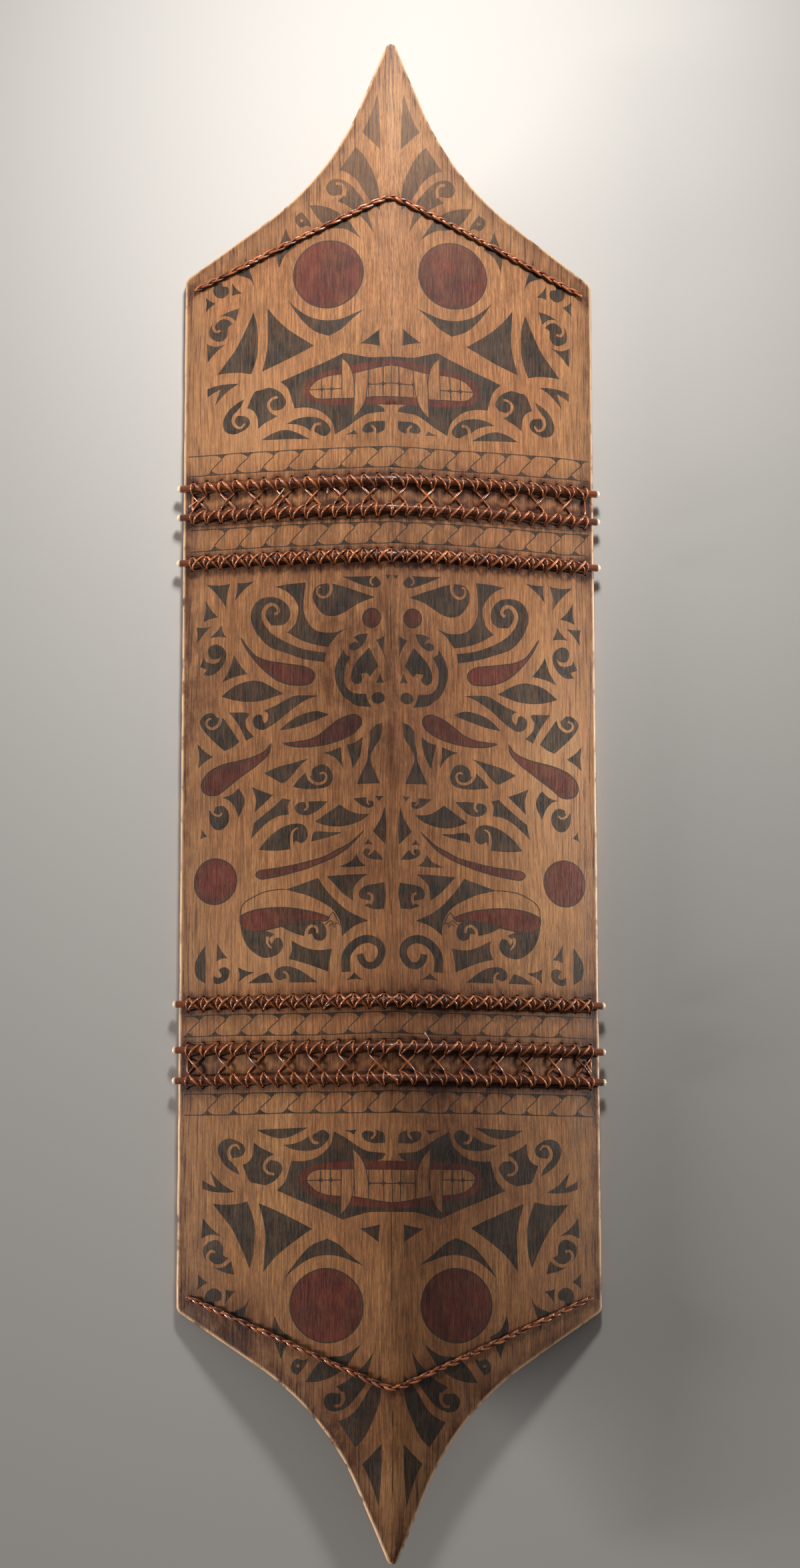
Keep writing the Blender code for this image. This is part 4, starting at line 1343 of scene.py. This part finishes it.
def make_split_rattan():
    material, tree, shader = new_material("Split rattan")
    place = add(tree, "ShaderNodeTexCoord").outputs["Object"]
    fibre = add(tree, "ShaderNodeAttribute", attribute_name="fibre").outputs["Vector"]
    tone = add(tree, "ShaderNodeAttribute", attribute_name="tone").outputs["Fac"]
    fray = add(tree, "ShaderNodeAttribute", attribute_name="fray").outputs["Fac"]
    bark = use_group(tree, rattan, {"Fibre place": fibre, "Place": place, "Tone": tone})
    across = add(tree, "ShaderNodeSeparateXYZ", {0: fibre}).outputs["Y"]
    from_middle = maths(tree, "ABSOLUTE", across)
    # Both sides of each strip are darker than its crown: painted shade where the sides fall away towards the
    # wood, with some dirt.
    shaded_dirty_sides = eased(tree, from_middle, 0.36 * strip_width, 0.5 * strip_width, 0.0, 0.75)
    colour = mixed(tree, shaded_dirty_sides, bark.outputs["Color"], side_dirt_and_shade)
    colour = mixed(tree, fray, colour, frayed_pale)
    tree.links.new(colour, shader.inputs["Base Color"])
    tree.links.new(bark.outputs["Roughness"], shader.inputs["Roughness"])
    shader.inputs["Coat Weight"].default_value = 0.6
    shader.inputs["Coat Roughness"].default_value = 0.16
    tree.links.new(bump(tree, bark.outputs["Height"], 0.40, 0.0003), shader.inputs["Normal"])
    return material


split_rattan = make_split_rattan()


def over_rod(strips, rod_place, start_x, end_x, rise):
    """One stitch over a rod, from the hole above it to the hole below it, rise above the cane."""
    radius = rod_radius + rise
    axis_height = rod_radius + touching_gap
    mouth = 0.0002
    reach = hole_offset - 0.0009
    to_mouth = math.atan2(mouth - axis_height, reach)
    touch = to_mouth + math.acos(radius / math.hypot(reach, axis_height - mouth))
    arc_steps = 8
    half = [(hole_offset - 0.0003, -hole_depth), (hole_offset - 0.0004, -0.0009), (reach, mouth)]
    arc = [touch + (math.pi - 2 * touch) * k / arc_steps for k in range(arc_steps + 1)]
    over = [(radius * math.cos(turn), axis_height + radius * math.sin(turn)) for turn in arc]
    profile = half + over + [(-offset, height) for offset, height in reversed(half)]
    bow = chance.uniform(-0.0003, 0.0003)
    width = strip_width * chance.uniform(0.88, 1.15)
    places, ups, widths = [], [], []
    for offset, height in profile:
        share = (hole_offset - offset) / (2 * hole_offset)
        x = start_x + (end_x - start_x) * share + bow * math.sin(math.pi * share)
        up = front_normal(x)
        places.append(front_point(x, rod_place + offset, 0) + up * height)
        outward = Vector((0, offset, 0)) + up * max(height - axis_height, 0.0)
        outward += up * 0.0012
        ups.append(outward.normalized())
        widths.append(width if height > mouth else width * hole_squeeze)
    strips.add(places, ups, widths, chance.uniform(0.4, 1))


def part_way(start, end, share):
    """The place at a share of the way from one place on the board to another."""
    return (start[0] + (end[0] - start[0]) * share, start[1] + (end[1] - start[1]) * share)


def under_board(strips, start, end):
    """A short run of strip flat across the back, between two holes."""
    steps = 6
    places, ups, widths = [], [], []
    for k in range(steps + 1):
        x, y = part_way(start, end, k / steps)
        in_hole = k in (0, steps)
        places.append(Vector((x, y, back_height(x) + (back_tuck if in_hole else 0.0))))
        ups.append(Vector((0, 0, -1)))
        widths.append(strip_width * (hole_squeeze if in_hole else 1.0))
    strips.add(places, ups, widths, chance.uniform(0.3, 0.9))


def loose_end(strips, x, y, angle, length):
    """A frayed end of strip that has sprung up from the board, pale at its tip."""
    steps = 5
    places, ups, widths = [], [], []
    for k in range(steps + 1):
        share = k / steps
        away = length * share
        px, py = x + away * math.cos(angle), y + away * math.sin(angle)
        places.append(front_point(px, py, 0.0004 + 0.0035 * share ** 1.6))
        ups.append(front_normal(px))
        widths.append(strip_width * (1 - 0.35 * share))
    strips.add(places, ups, widths, 0.8, frayed=1.0)


slants = ((1,), (-1,), (1, -1), (1, -1), (-1,), (1,))
loose_ends = {
    3: ((-0.103, -0.1905, 1.2, 0.006), (-0.055, -0.1908, 0.6, 0.007)),
    4: ((0.030, -0.2165, 2.2, 0.007),)}
for number, (place, count) in enumerate(zip(rod_places, hole_counts)):
    strips = Strips()
    row = hole_row(count)
    for x in row:
        over_rod(strips, place, x, x, straight_rise)
        under_board(strips, (x, place - hole_offset), (x, place + hole_offset))
    for layer, slant in enumerate(slants[number]):
        for left, right in zip(row, row[1:]):
            upper, lower = (left, right) if slant > 0 else (right, left)
            nudge = slant_aside * (1 if lower > upper else -1)
            clear_of_ridge = min(1, abs(left + right) / ridge_reach)
            over_stitch = over_stitch_rise + second_over_stitch_rise * layer
            rise = slant_rise + over_stitch * clear_of_ridge + second_slant_rise * layer
            over_rod(strips, place, upper + nudge, lower - nudge, rise)
    for left, right in zip(row, row[1:]):
        upper, lower = (left, right) if slants[number][0] < 0 else (right, left)
        under_board(strips, (upper, place + hole_offset), (lower, place - hole_offset))
    for x, y, angle, length in loose_ends.get(number, ()):
        loose_end(strips, x, y, angle, length)
    lacing = strips.make(f"lacing_{number + 1}_strip")
    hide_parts(f"lacing_{number + 1}")

# The cross lacing
# A row of crosses lies on the board between the first two rods, and another between the last two.
# Each cross joins two holes of one rod's row to two of the other's.
under_rise, over_rise = 0.0010, 0.0022
end_rise = 0.0008
cross_loose_ends = {
    "top": ((-0.0985, 0.2315, 0.85, 0.017), (-0.1585, 0.2405, 3.9, 0.011), (-0.052, 0.2435, 4.6, 0.005)),
    "bottom": ((0.160, -0.2300, -1.2, 0.010),)}


def on_board(strips, start, end, rise):
    """A strip from one hole to another across the painted face, bulging a little off the wood."""
    steps = 9
    width = strip_width * chance.uniform(0.85, 1.1)
    places, ups, widths = [], [], []
    for k in range(-1, steps + 2):
        share = min(1, max(0, k / steps))
        x, y = part_way(start, end, share)
        hidden = k in (-1, steps + 1)
        height = -hole_depth if hidden else 0.0001 + rise * math.sin(math.pi * share)
        places.append(front_point(x, y, 0) + front_normal(x) * height)
        ups.append(front_normal(x))
        widths.append(width * (0.7 if hidden else 1.0))
    away = Vector((end[0] - start[0], end[1] - start[1], 0)).normalized()
    ups[0] = -away
    ups[-1] = away
    strips.add(places, ups, widths, chance.uniform(0.1, 1))


for name, upper_rod, lower_rod, down_rise, up_rise in (
        ("top", 0, 1, under_rise, over_rise), ("bottom", 4, 5, over_rise, under_rise)):
    strips = Strips()
    row = hole_row(hole_counts[upper_rod])
    upper_y = rod_places[upper_rod] - hole_offset
    lower_y = rod_places[lower_rod] + hole_offset
    for k in range(0, len(row) - 1, 2):
        left, right = row[k], row[k + 1]
        on_board(strips, (left, upper_y), (right, lower_y), down_rise)
        on_board(strips, (left, lower_y), (right, upper_y), up_rise)
    for x in (row[0], row[-1]):
        on_board(strips, (x, upper_y), (x, lower_y), end_rise)
    for x, y, angle, length in cross_loose_ends[name]:
        loose_end(strips, x, y, angle, length)
    strips.make(f"cross_lacing_{name}")

# The braids
# A flat plait of three strips of split rattan lies across each end of the board, from one shoulder
# up over the ridge to the other, and is held down at its two ends.
braid_half_width = 0.0023
strand_width = 0.0025
strand_thickness = 0.0013
crossing_length = 0.0105
strand_step = 0.0015
strand_height, strand_swing = 0.0014, 0.0010
strand_overhang = 0.0004
strand_seat = 0.0004
ridge_easing = 0.004
gathered_steps, gathered_share = 6, 0.45


def make_braid(name, end_place, ridge_place):
    """Three strips plaited along a chevron, each swinging from side to side and over the others."""
    strips = Strips()
    reach = half_width - braid_end_margin
    half_run = math.hypot(reach, ridge_place - end_place)
    steps = round(2 * half_run / strand_step)
    slope = Vector((reach, end_place - ridge_place, 0)).normalized()
    for strand in range(3):
        places, ups, widths, tones = [], [], [], []
        for k in range(steps + 1):
            share = k / steps
            x = reach * (2 * share - 1)
            y = braid_place(x, end_place, ridge_place)
            lean = Vector((1, (1 if x > 0 else -1) * slope.y / slope.x, 0)).normalized()
            across = Vector((-lean.y, lean.x, 0))
            ease = min(1, abs(x) / ridge_easing)
            across = (across * ease + Vector((0, 1, 0)) * (1 - ease)).normalized()
            wander = 0.16 * noise.noise(Vector((x * 45, y * 45, 2.0)))
            phase = 2 * math.pi * (share * 2 * half_run / (3 * crossing_length) + strand / 3 + wander)
            narrowing = min(1, min(k, steps - k) / gathered_steps + gathered_share)
            aside = (braid_half_width - strand_width / 2 + strand_overhang) * math.sin(phase) * narrowing
            aside *= 1 + 0.5 * noise.noise(Vector((x * 70, y * 70, strand * 4.0)))
            lift = math.sin(2 * phase)
            high = strand_height + strand_swing * lift
            foot = Vector((x, y, 0)) + across * aside
            places.append(front_point(foot.x, foot.y, touching_gap + high - strand_seat))
            ups.append(front_normal(foot.x))
            swelling = noise.noise(Vector((x * 110, y * 110, strand * 3.0)))
            widths.append(strand_width * (0.85 + 0.4 * swelling))
            # The tone is lighter where the strand rises over the others and darker where it dives under them.
            # That part is painted light and shade, and the tone also varies at random along the strand.
            tones.append(0.36 + 0.30 * lift + 0.65 * noise.noise(Vector((x * 120, y * 120, strand * 7.0))))
        strips.add(places, ups, widths, tones, thickness=strand_thickness)
    braid = strips.make(name + "_plait")
    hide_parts(name)


make_braid("braid_top", braid_end_place, braid_ridge_place)
make_braid("braid_bottom", -braid_end_place, -braid_ridge_place)
